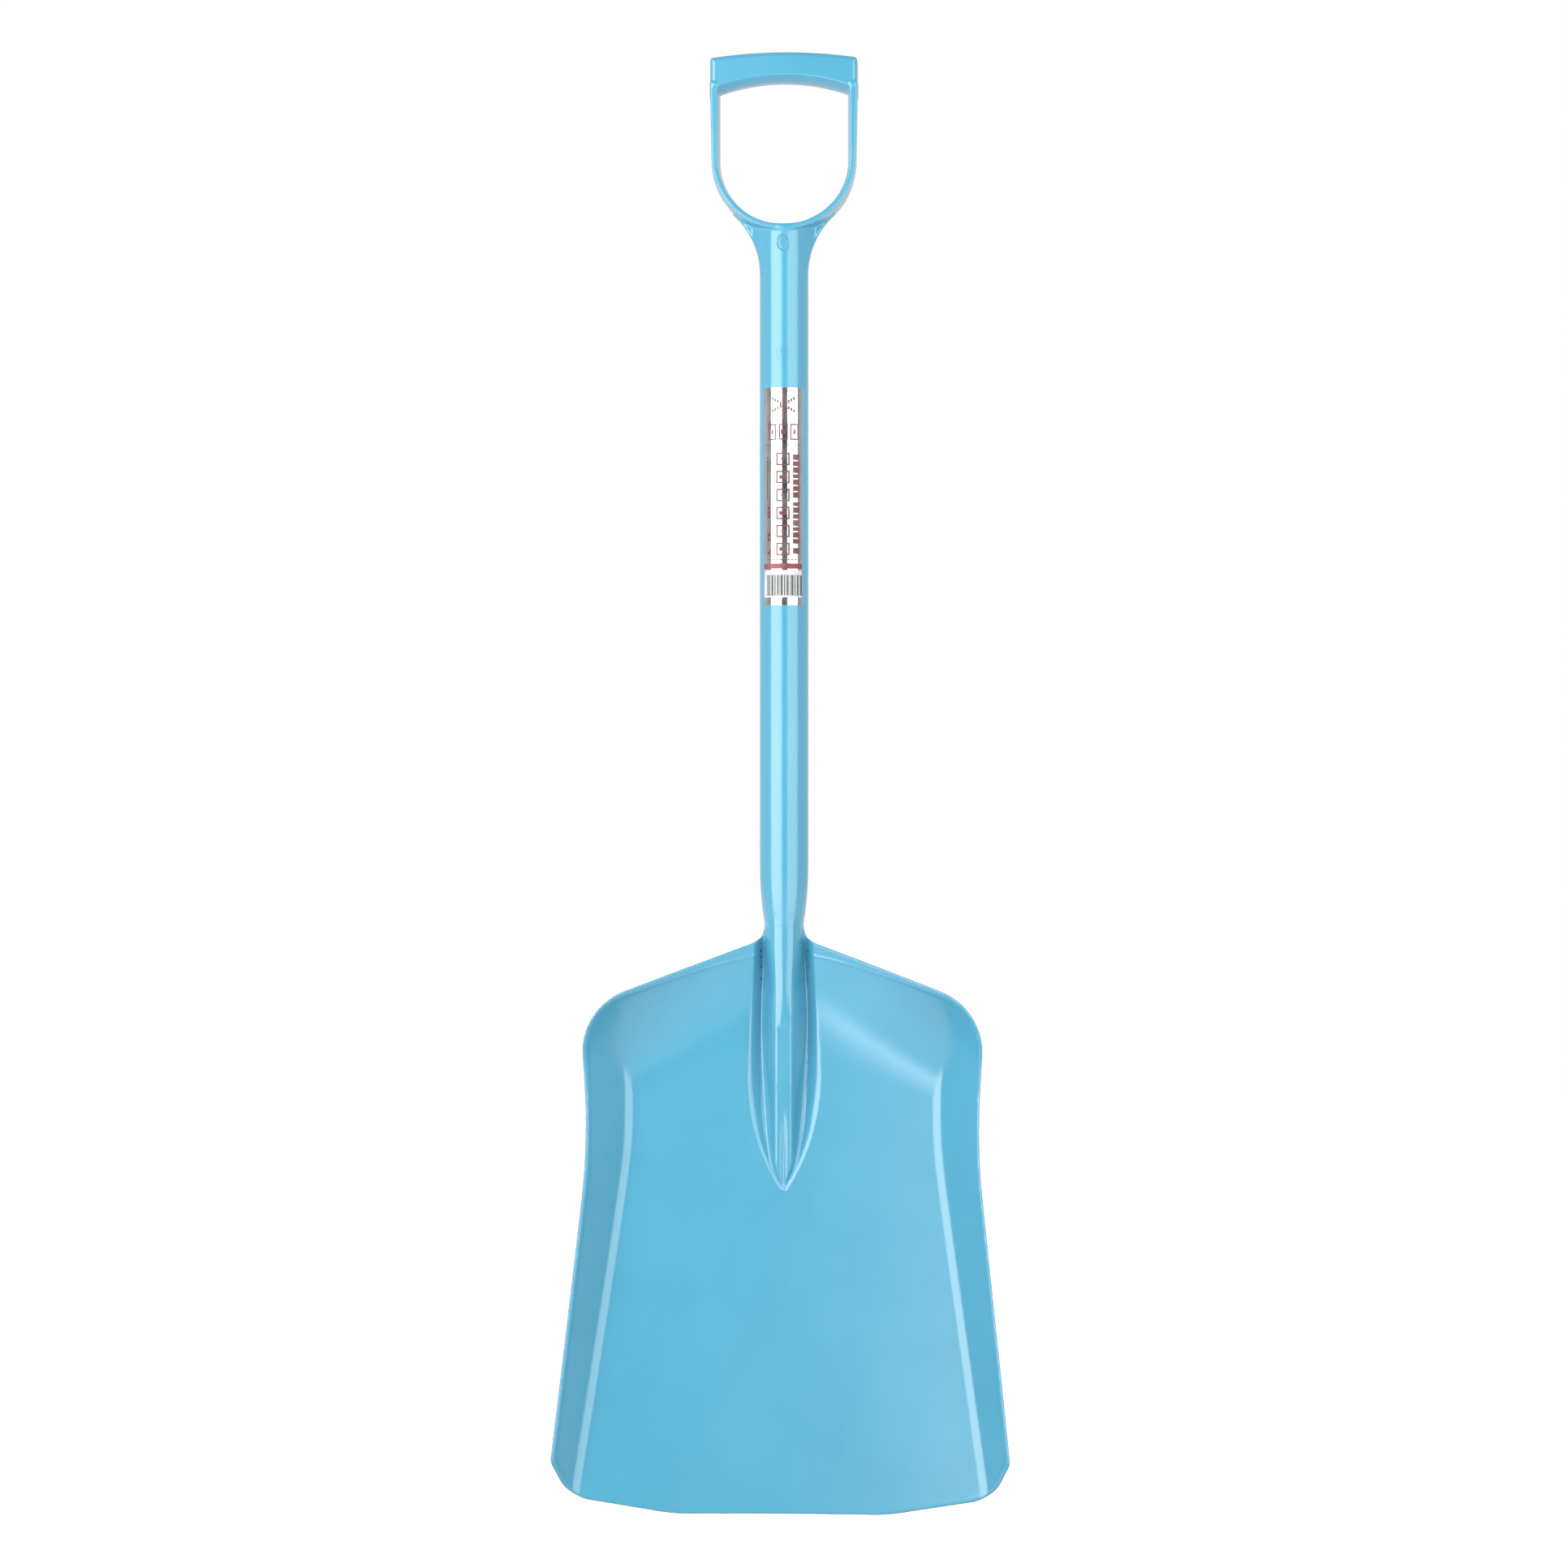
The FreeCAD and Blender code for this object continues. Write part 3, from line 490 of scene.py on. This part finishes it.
def field_mesh(name, field, low, high, cell, keep):
    """A field as a mesh in millimetres, thinned to a share of its faces where it is flat."""
    values, corner = sampled(field, low, high, cell)
    verts, faces = net(values, corner, cell)
    verts = settle(field, verts, 2)
    mesh = plain_mesh(name, verts, faces)
    if keep < 1:
        thin = placed(name, mesh)
        thin.modifiers.new("thin", "DECIMATE").ratio = keep
        out = bpy.data.meshes.new_from_object(thin.evaluated_get(bpy.context.evaluated_depsgraph_get()))
        bpy.data.objects.remove(thin)
        bpy.data.meshes.remove(mesh)
        mesh = out
    settled = settle(field, points(mesh).astype(float), 3, 0.4)
    mesh.vertices.foreach_set("co", settled.astype(np.float32).ravel())
    mesh.update()
    return mesh


def parted(mesh, cuts):
    """A copy of a mesh kept on one side of each (place, axis, keep above) plane, with its cuts closed."""
    bm = bmesh.new()
    bm.from_mesh(mesh)
    for place, axis, above in cuts:
        normal = [0, 0, 0]
        normal[axis] = -1 if above else 1
        point = [0, 0, 0]
        point[axis] = place
        geometry = bm.verts[:] + bm.edges[:] + bm.faces[:]
        cut = bmesh.ops.bisect_plane(bm, geom=geometry, plane_co=point, plane_no=normal, clear_outer=True)
        rim = [e for e in cut["geom_cut"] if isinstance(e, bmesh.types.BMEdge)]
        for cap in bmesh.ops.holes_fill(bm, edges=rim, sides=0)["faces"]:
            cap.smooth = False
    return finished(bm, "part")


def shaded(mesh, field, reach):
    """Sets a mesh's normals from its field, but leaves its closed cuts flat."""
    smooth = np.zeros(len(mesh.polygons), bool)
    mesh.polygons.foreach_get("use_smooth", smooth)
    g = gradient(field, points(mesh).astype(float), reach)
    g /= np.maximum(np.linalg.norm(g, axis=1, keepdims=True), 1e-9)
    loop_vertex = np.zeros(len(mesh.loops), np.int32)
    mesh.loops.foreach_get("vertex_index", loop_vertex)
    totals = np.zeros(len(mesh.polygons), np.int32)
    mesh.polygons.foreach_get("loop_total", totals)
    flat = np.zeros(len(mesh.polygons) * 3, np.float32)
    mesh.polygons.foreach_get("normal", flat)
    owner = np.repeat(np.arange(len(mesh.polygons)), totals)
    normals = np.where(smooth[owner][:, None], g[loop_vertex], flat.reshape(-1, 3)[owner])
    mesh.normals_split_custom_set(normals.astype(np.float32))


def piece(name, mesh, material, replaced=()):
    """Puts a mesh in millimetres on the object, in the row frame."""
    mesh.vertices.foreach_set("co", (points(mesh) * MM).ravel())
    mesh.materials.clear()
    mesh.materials.append(material)
    mesh.update()
    mesh.name = name
    obj = placed(name, mesh)
    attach(obj, "root")
    if replaced:
        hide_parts(*replaced)


# ---------------------------------------------------------------- materials
def node_material(name):
    """A new material with only a Principled shader in it."""
    material = bpy.data.materials.new(name)
    material.use_nodes = True
    nodes = material.node_tree.nodes
    nodes.clear()
    out = nodes.new("ShaderNodeOutputMaterial")
    shader = nodes.new("ShaderNodeBsdfPrincipled")
    material.node_tree.links.new(shader.outputs[0], out.inputs[0])
    return material, nodes, material.node_tree.links, shader


def noise(nodes, links, vector, scale, detail=2.0, stretch=(1, 1, 1)):
    """A noise node over the object, drawn out along an axis where stretch is below 1."""
    texture = nodes.new("ShaderNodeTexNoise")
    texture.inputs["Scale"].default_value = scale
    texture.inputs["Detail"].default_value = detail
    place = nodes.new("ShaderNodeMapping")
    place.inputs["Scale"].default_value = stretch
    links.new(vector, place.inputs["Vector"])
    links.new(place.outputs[0], texture.inputs["Vector"])
    return texture.outputs["Fac"]


def ranged(nodes, links, value, low, high, start, end):
    """A value between low and high mapped onto start to end."""
    node = nodes.new("ShaderNodeMapRange")
    for key, number in zip(("From Min", "From Max", "To Min", "To Max"), (low, high, start, end)):
        node.inputs[key].default_value = number
    links.new(value, node.inputs["Value"])
    return node.outputs[0]


def tinted(nodes, links, shader, value, dark, light, start=0.0, end=1.0):
    """Colours a shader from dark to light along a value."""
    tint = nodes.new("ShaderNodeValToRGB")
    low, high = tint.color_ramp.elements
    low.position, high.position = start, end
    low.color, high.color = (*dark, 1), (*light, 1)
    links.new(value, tint.inputs["Fac"])
    links.new(tint.outputs["Color"], shader.inputs["Base Color"])


def bumped(nodes, links, shader, layers):
    """Stacks (height, strength, distance in metres) layers of bump on a shader's normal."""
    normal = None
    for height, strength, distance in layers:
        bump = nodes.new("ShaderNodeBump")
        bump.inputs["Strength"].default_value = strength
        bump.inputs["Distance"].default_value = distance
        links.new(height, bump.inputs["Height"])
        if normal:
            links.new(normal, bump.inputs["Normal"])
        normal = bump.outputs["Normal"]
    links.new(normal, shader.inputs["Normal"])


def plastic_material():
    """Satin polypropylene: slow colour drift, faint flow streaks, fine grain and small moulding ripples."""
    material, nodes, links, shader = node_material("shovel_plastic")
    coords = nodes.new("ShaderNodeTexCoord").outputs["Object"]
    cloud = noise(nodes, links, coords, 14.0, 4.0)
    flow = noise(nodes, links, coords, 60.0, 3.0, (1, 1, 0.3))
    both = nodes.new("ShaderNodeMath")
    both.operation = "ADD"
    links.new(cloud, both.inputs[0])
    links.new(ranged(nodes, links, flow, 0.3, 0.7, -0.05, 0.05), both.inputs[1])
    tinted(nodes, links, shader, both.outputs[0], (0.066, 0.313, 0.458), (0.077, 0.336, 0.488), 0.25, 0.75)
    links.new(ranged(nodes, links, flow, 0.3, 0.7, 0.215, 0.235), shader.inputs["Roughness"])
    shader.inputs["IOR"].default_value = 1.5
    shader.inputs["Coat Weight"].default_value = 0.5
    shader.inputs["Coat Roughness"].default_value = 0.18
    bumped(nodes, links, shader, [
        (noise(nodes, links, coords, 45.0, 2.0), 0.15, 0.0003),
        (noise(nodes, links, coords, 900.0), 0.12, 0.0002),
    ])
    return material


plastic = plastic_material()

# ---------------------------------------------------------------- pieces of the moulding
ACROSS, UP = 0, 2
ABOVE, BELOW = True, False
blade_all = field_mesh("blade_all", blade_field, (0, -100, LIP - 4), (178, 24, SHAFT_FOOT + 6),
                       BLADE_CELL, BLADE_KEEP)
grip_all = field_mesh("grip_all", grip_field, (0, -23, SHAFT_HEAD - 6), (60, 23, BAR_TOP + 3),
                      GRIP_CELL, GRIP_KEEP)
arms = [(BOW_CENTRE, UP, ABOVE), (ARM_HEAD, UP, BELOW)]

for source, field, reach, sections in (
    (blade_all, blade_field, BLADE_SHADING, (
        ("blade", [(NECK_FOOT, UP, BELOW)], ("blade_pan", "blade_frog", "rim_left", "rim_right")),
        ("neck", [(NECK_FOOT, UP, ABOVE), (SHAFT_FOOT, UP, BELOW)], ("neck",)),
    )),
    (grip_all, grip_field, GRIP_SHADING, (
        ("yoke", [(SHAFT_HEAD, UP, ABOVE), (BOW_CENTRE, UP, BELOW)],
         ("yoke_bow", "yoke_stem", "yoke_web_left", "yoke_web_right")),
        ("grip_arm_left", arms + [(0, ACROSS, BELOW)], ("grip_arm_left",)),
        ("grip_arm_right", arms + [(0, ACROSS, ABOVE)], ("grip_arm_right",)),
        ("grip_bar", [(ARM_HEAD, UP, ABOVE)], ("grip_bar",)),
    )),
):
    source.polygons.foreach_set("use_smooth", np.ones(len(source.polygons), bool))
    for name, cuts, replaced in sections:
        section = parted(source, cuts)
        shaded(section, field, reach)
        piece(name + "_moulded", section, plastic, replaced)
    bpy.data.meshes.remove(source)


def tube(r_out, r_in, foot, head, segments=160, rings=60):
    """A straight tube with flat ends."""
    bm = bmesh.new()
    profile = [(r_out, foot + (head - foot) * i / rings) for i in range(rings + 1)]
    turns = [2 * math.pi * i / segments for i in range(segments)]
    loops = [
        [bm.verts.new((r * math.cos(turn), r * math.sin(turn), z)) for turn in turns]
        for r, z in profile + [(r_in, head), (r_in, foot)]
    ]
    for a, b in zip(loops, loops[1:] + loops[:1]):
        for i in range(segments):
            j = (i + 1) % segments
            bm.faces.new((a[i], a[j], b[j], b[i]))
    for f in bm.faces:
        f.normal_update()
        f.smooth = abs(f.normal.z) < 0.5
    mesh = finished(bm, "shaft")
    mesh.set_sharp_from_angle(angle=SHARP_ANGLE)
    return mesh


piece("shaft_moulded", tube(SHAFT_R, SHAFT_R - SHAFT_WALL, SHAFT_FOOT, SHAFT_HEAD), plastic, ("shaft_tube",))


def plug_mesh():
    """The gas port plug: a short oval plug with a slightly domed head and a rounded edge."""
    bm = bmesh.new()
    front = -STEM_R - PLUG_PROUD
    profile = [(1.0, 3.0), (1.0, 0.35), (0.97, 0.14), (0.9, 0.04), (0.75, 0.0), (0.45, -0.02), (0.2, -0.03)]
    segments = 64
    rings = [
        [bm.verts.new((
            PLUG_HALF_WIDTH * k * math.cos(2 * math.pi * i / segments), front + drop,
            PLUG_Z + PLUG_HALF_HEIGHT * k * math.sin(2 * math.pi * i / segments),
        )) for i in range(segments)]
        for k, drop in [(0.98 * k, max(drop, 0.0)) for k, drop in profile]
    ]
    for a, b in zip(rings, rings[1:]):
        for i in range(segments):
            j = (i + 1) % segments
            bm.faces.new((a[i], a[j], b[j], b[i])).smooth = True
    bm.faces.new(rings[-1]).smooth = True
    bm.faces.new(rings[0][::-1])
    bmesh.ops.recalc_face_normals(bm, faces=bm.faces)
    return finished(bm, "plug")


piece("gas_port_plug_moulded", plug_mesh(), plastic, ("gas_port_plug",))


def dial_mesh():
    """The moulder's dial on the shaft: a low ring of dots round a bar, as a mould insert leaves it."""
    bm = bmesh.new()
    middle_turn, middle_z = math.radians(-3.7), SHAFT_HEAD - 59.6
    dots, ring_r, dot_r = 12, 4.4, 0.75
    turns = [2 * math.pi * i / dots for i in range(dots)]

    def raised(outline, height):
        """A low flat-topped boss on the shaft from an outline of (across, up) points."""
        loops = []
        cx = sum(p[0] for p in outline) / len(outline)
        cz = sum(p[1] for p in outline) / len(outline)
        for grow, out in ((1.0, -0.3), (1.0, 0.5 * height), (0.8, height)):
            loop = []
            for u, w in outline:
                turn = middle_turn + (cx + (u - cx) * grow) / SHAFT_R
                r = SHAFT_R + out
                z = middle_z + cz + (w - cz) * grow
                loop.append(bm.verts.new((r * math.sin(turn), -r * math.cos(turn), z)))
            loops.append(loop)
        for a, b in zip(loops, loops[1:]):
            for i in range(len(outline)):
                j = (i + 1) % len(outline)
                bm.faces.new((a[i], a[j], b[j], b[i])).smooth = True
        bm.faces.new(loops[-1])
        bm.faces.new(loops[0][::-1])

    for turn in turns:
        across, up = ring_r * math.sin(turn), ring_r * math.cos(turn)
        raised([(across + dot_r * math.cos(t), up + dot_r * math.sin(t)) for t in turns], 0.25)
    raised([(-0.6, -2.6), (0.6, -2.6), (0.6, 1.2), (1.5, 1.2), (0.0, 2.9), (-1.5, 1.2), (-0.6, 1.2)], 0.22)
    bmesh.ops.recalc_face_normals(bm, faces=bm.faces)
    return finished(bm, "dial")


piece("mould_dial", dial_mesh(), plastic)

# ---------------------------------------------------------------- label
LABEL_TOP = cad("label_foil", True, 2)
LABEL_FOOT = cad("label_foil", False, 2)
FOIL_R, FILM_R, PRINT_THICKNESS = SHAFT_R + 0.1, SHAFT_R + 0.15, 0.015
LABEL_LEFT, LABEL_RIGHT, FILM_RIGHT = -53.0, 49.0, 61.0


def wrapped(name, patches, r_in, r_out, wrinkle=None):
    """Thin plates round the shaft. A patch is (degrees from, to, millimetres below the label's top from, to)."""
    bm = bmesh.new()
    for turn_from, turn_to, drop_from, drop_to in patches:
        across = max(2, int(abs(turn_to - turn_from) / 2.5) + 1)
        down = max(1, int(abs(drop_to - drop_from) / 1.5)) if wrinkle else 1
        layers = []
        for r in (r_in, r_out):
            layer = []
            for k in range(down + 1):
                z = LABEL_TOP - drop_from - (drop_to - drop_from) * k / down
                row = []
                for i in range(across + 1):
                    turn = math.radians(turn_from + (turn_to - turn_from) * i / across)
                    out = r + (wrinkle(turn, z) if wrinkle and r == r_out else 0)
                    row.append(bm.verts.new((out * math.sin(turn), -out * math.cos(turn), z)))
                layer.append(row)
            layers.append(layer)
        inner, outer = layers
        for k in range(down):
            for i in range(across):
                bm.faces.new((outer[k][i], outer[k + 1][i], outer[k + 1][i + 1], outer[k][i + 1])).smooth = True
                bm.faces.new((inner[k][i], inner[k][i + 1], inner[k + 1][i + 1], inner[k + 1][i])).smooth = True
        for k in range(down):
            for i, flip in ((0, False), (across, True)):
                quad = (inner[k][i], inner[k + 1][i], outer[k + 1][i], outer[k][i])
                bm.faces.new(quad[::-1] if flip else quad)
        for i in range(across):
            for k, flip in ((0, True), (down, False)):
                quad = (inner[k][i], inner[k][i + 1], outer[k][i + 1], outer[k][i])
                bm.faces.new(quad[::-1] if flip else quad)
    mesh = finished(bm, name)
    mesh.set_sharp_from_angle(angle=SHARP_ANGLE)
    return mesh


def foil_material():
    """Bright metallised foil with faint scuffs and shallow buckles."""
    material, nodes, links, shader = node_material("label_foil")
    coords = nodes.new("ShaderNodeTexCoord").outputs["Object"]
    cloud = noise(nodes, links, coords, 120.0, 3.0)
    tinted(nodes, links, shader, cloud, (0.40, 0.38, 0.37), (0.50, 0.485, 0.475))
    shader.inputs["Metallic"].default_value = 1.0
    scuffs = noise(nodes, links, coords, 300.0)
    links.new(ranged(nodes, links, scuffs, 0.3, 0.7, 0.06, 0.13), shader.inputs["Roughness"])
    bumped(nodes, links, shader, [
        (noise(nodes, links, coords, 110.0, 2.0, (1, 1, 0.5)), 0.35, 0.0002),
        (noise(nodes, links, coords, 500.0), 0.1, 0.0001),
    ])
    return material


def ink_material(name, dark, light):
    """Matt printing ink, a little uneven."""
    material, nodes, links, shader = node_material(name)
    coords = nodes.new("ShaderNodeTexCoord").outputs["Object"]
    tinted(nodes, links, shader, noise(nodes, links, coords, 400.0, 3.0), dark, light, 0.3, 0.7)
    shader.inputs["Roughness"].default_value = 0.5
    bumped(nodes, links, shader, [(noise(nodes, links, coords, 900.0), 0.08, 0.0001)])
    return material


def film_material():
    """Clear film: mostly see-through, with its own gloss and a slightly hazy, uneven thickness."""
    material, nodes, links, shader = node_material("label_film")
    coords = nodes.new("ShaderNodeTexCoord").outputs["Object"]
    tinted(nodes, links, shader, noise(nodes, links, coords, 90.0, 3.0), (0.80, 0.86, 0.90), (0.92, 0.95, 0.97))
    haze = noise(nodes, links, coords, 70.0, 3.0)
    links.new(ranged(nodes, links, haze, 0.4, 0.75, 0.015, 0.07), shader.inputs["Alpha"])
    shader.inputs["Roughness"].default_value = 0.12
    bumped(nodes, links, shader, [(noise(nodes, links, coords, 130.0, 2.0, (1, 1, 0.4)), 0.4, 0.0002)])
    return material


def foil_wrinkle(turn, z):
    """Low buckles of the foil, strongest near its left edge where it has lifted a little."""
    lifted = math.exp(-((turn - math.radians(LABEL_LEFT)) / 0.28) ** 2)
    return -0.03 * (1 + math.sin(z * 0.9 + 5 * turn) * math.sin(z * 0.31)) * (0.15 + lifted)


foil, film = foil_material(), film_material()
piece("label_foil_sheet", wrapped("foil", [(LABEL_LEFT, LABEL_RIGHT, 0, LABEL_TOP - LABEL_FOOT)],
                                  SHAFT_R, FOIL_R, foil_wrinkle), foil, ("label_foil",))
piece("label_film_sheet", wrapped("film", [(LABEL_LEFT, FILM_RIGHT, 0, LABEL_TOP - LABEL_FOOT)],
                                  FOIL_R + PRINT_THICKNESS, FILM_R), film, ("label_film",))


def spokes(turn, drop, arm, width):
    """A plain six-armed star of small plates, as a mark for frost."""
    plates = []
    for k in range(-4, 5):
        reach = arm * k / 4
        for across, down in ((0.0, reach), (0.87 * reach, 0.5 * reach), (0.87 * reach, -0.5 * reach)):
            middle = turn + math.degrees(across / FOIL_R)
            half = math.degrees(width / 2 / FOIL_R)
            plates.append((middle - half, middle + half, drop + down - arm / 8, drop + down + arm / 8))
    return plates


def frame_mark(turn, drop, half_turn, half_drop, line, filled):
    """A small square outline, with a bar or a dot in it."""
    thin = math.degrees(line / FOIL_R)
    left, right, top, foot = turn - half_turn, turn + half_turn, drop - half_drop, drop + half_drop
    plates = [
        (left, right, top, top + line), (left, right, foot - line, foot),
        (left, left + thin, top + line, foot - line), (right - thin, right, top + line, foot - line),
    ]
    inside = 0.55 if filled else 0.2
    wide, tall = half_turn * inside, half_drop * 0.3
    plates.append((turn - wide, turn + wide, drop - tall, drop + tall))
    return plates


dark_red = ink_material("label_ink_dark_red", (0.075, 0.005, 0.006), (0.12, 0.008, 0.009))
red = ink_material("label_ink_red", (0.19, 0.009, 0.009), (0.26, 0.014, 0.014))
white = ink_material("label_ink_white", (0.50, 0.51, 0.52), (0.60, 0.61, 0.62))
black = ink_material("label_ink_black", (0.008, 0.008, 0.009), (0.02, 0.02, 0.021))

# plain marks from the label's top down, as degrees round the shaft and millimetres below its top
marks = spokes(0.0, 13.0, 9.5, 1.3)
marks += [m for k in range(3) for m in frame_mark(-27.0 + 27.0 * k, 33.5, 10.5, 6.0, 1.0, k % 2)]
marks += [(-44 + 6 * k, -40 + 6 * k, 43.0, 43.6) for k in range(15)]
marks += [m for k in range(6) for m in frame_mark(-1.0, 54.0 + 13.6 * k, 16.0, 4.8, 1.2, k % 2)]
block = 50.5
for k in range(15):
    length = (4.2, 3.6, 4.4, 3.0)[k % 4]
    marks.append((23.0, 40.0, block, block + length))
    block += length + (0.9 if k % 7 != 6 else 3.2)
marks += [(-40, -32, drop, drop + 2.2) for drop in (90.0, 93.5, 96.2, 110.0, 113.5, 123.5)]
marks += [(-42, -39, 52.0 + 3.0 * k, 54.2 + 3.0 * k) for k in range(11)]
marks += [(-36 + 9 * k, -30 + 9 * k, 129.6, 130.3) for k in range(9)]
for name, plates, ink in (
    ("label_marks", marks, dark_red),
    ("label_band", [(-52, 48, 132.8, 136.8)], red),
    ("label_panel", [(-51, 47, 137.8, 158.4)], white),
):
    piece(name, wrapped(name, plates, FOIL_R, FOIL_R + PRINT_THICKNESS), ink, ())
stripes = []
turn = -42.0
for k in range(19):
    width = (1.6, 3.4, 1.5, 4.4, 2.2)[k % 5]
    stripes.append((turn, turn + width, 141.5, 157.0))
    turn += width + (2.2, 1.5, 2.8)[k % 3]
piece("label_stripes",
      wrapped("label_stripes", stripes, FOIL_R + PRINT_THICKNESS, FOIL_R + 2 * PRINT_THICKNESS), black, ())

# ---------------------------------------------------------------- camera, light, floor
CAMERA_AWAY, CAMERA_LEVEL, CAMERA_ASIDE = 2.9, -0.0302, 0.0001     # in metres
CAMERA_TURN = math.radians(2.0)           # the camera stands this far to the shovel's right
SENSOR = 36.0
VIEW_WIDTH = 1.1907                       # seen width at the shaft, in metres
camera = placed("camera", bpy.data.cameras.new("camera"))
camera.data.sensor_width = SENSOR
camera.data.lens = SENSOR * CAMERA_AWAY / VIEW_WIDTH
camera.data.clip_end = 50.0
camera.location = (
    CAMERA_AWAY * math.sin(CAMERA_TURN) - CAMERA_ASIDE * math.cos(CAMERA_TURN),
    -CAMERA_AWAY * math.cos(CAMERA_TURN) - CAMERA_ASIDE * math.sin(CAMERA_TURN),
    CAMERA_LEVEL,
)
camera.rotation_euler = (math.radians(90), 0, CAMERA_TURN)
bpy.context.scene.camera = camera


def softbox(name, azimuth, spread, power, distance=1.6, height=1.5, level=0.3):
    """An area light that faces the shaft from an azimuth, 0 at the camera's side and positive to the right."""
    light = bpy.data.lights.new(name, "AREA")
    light.shape = "RECTANGLE"
    light.size = 2 * distance * math.tan(math.radians(spread / 2))
    light.size_y = height
    light.energy = power
    obj = placed(name, light)
    turn = math.radians(azimuth) + CAMERA_TURN
    obj.location = (distance * math.sin(turn), -distance * math.cos(turn), level)
    obj.rotation_euler = (math.radians(90), 0, turn)
    obj.visible_camera = False


softbox("softbox_left", -37.5, 53, 42)
softbox("softbox_right", 40.5, 51, 25)


def studio_world():
    """White where it is seen. As light, dim behind the camera and bright behind the shovel."""
    world = bpy.data.worlds.new("studio")
    bpy.context.scene.world = world
    world.use_nodes = True
    nodes, links = world.node_tree.nodes, world.node_tree.links
    nodes.clear()
    out = nodes.new("ShaderNodeOutputWorld")
    seen = nodes.new("ShaderNodeBackground")
    seen.inputs["Color"].default_value = (1, 1, 1, 1)
    around = nodes.new("ShaderNodeBackground")
    mix = nodes.new("ShaderNodeMixShader")
    split = nodes.new("ShaderNodeSeparateXYZ")
    links.new(nodes.new("ShaderNodeTexCoord").outputs["Generated"], split.inputs[0])
    links.new(ranged(nodes, links, split.outputs["Y"], -0.65, 0.05, 0.06, 1.0), around.inputs["Strength"])
    links.new(nodes.new("ShaderNodeLightPath").outputs["Is Camera Ray"], mix.inputs[0])
    links.new(around.outputs[0], mix.inputs[1])
    links.new(seen.outputs[0], mix.inputs[2])
    links.new(mix.outputs[0], out.inputs[0])


studio_world()
bpy.context.scene.view_settings.view_transform = "Standard"
bpy.context.scene.view_settings.look = "None"


def floor():
    """A plain pale disc under the shovel."""
    bm = bmesh.new()
    bmesh.ops.create_circle(bm, cap_ends=True, radius=6.0, segments=96)
    mesh = finished(bm, "floor")
    material, _, _, shader = node_material("studio_floor")
    shader.inputs["Base Color"].default_value = (0.3, 0.3, 0.3, 1)
    shader.inputs["Roughness"].default_value = 0.6
    shader.inputs["Emission Color"].default_value = (1, 1, 1, 1)
    shader.inputs["Emission Strength"].default_value = 0.95
    mesh.materials.append(material)
    obj = placed("floor", mesh)
    obj.location = (0, 0, (LIP - 180.0) * MM)
    obj.visible_diffuse = False


floor()
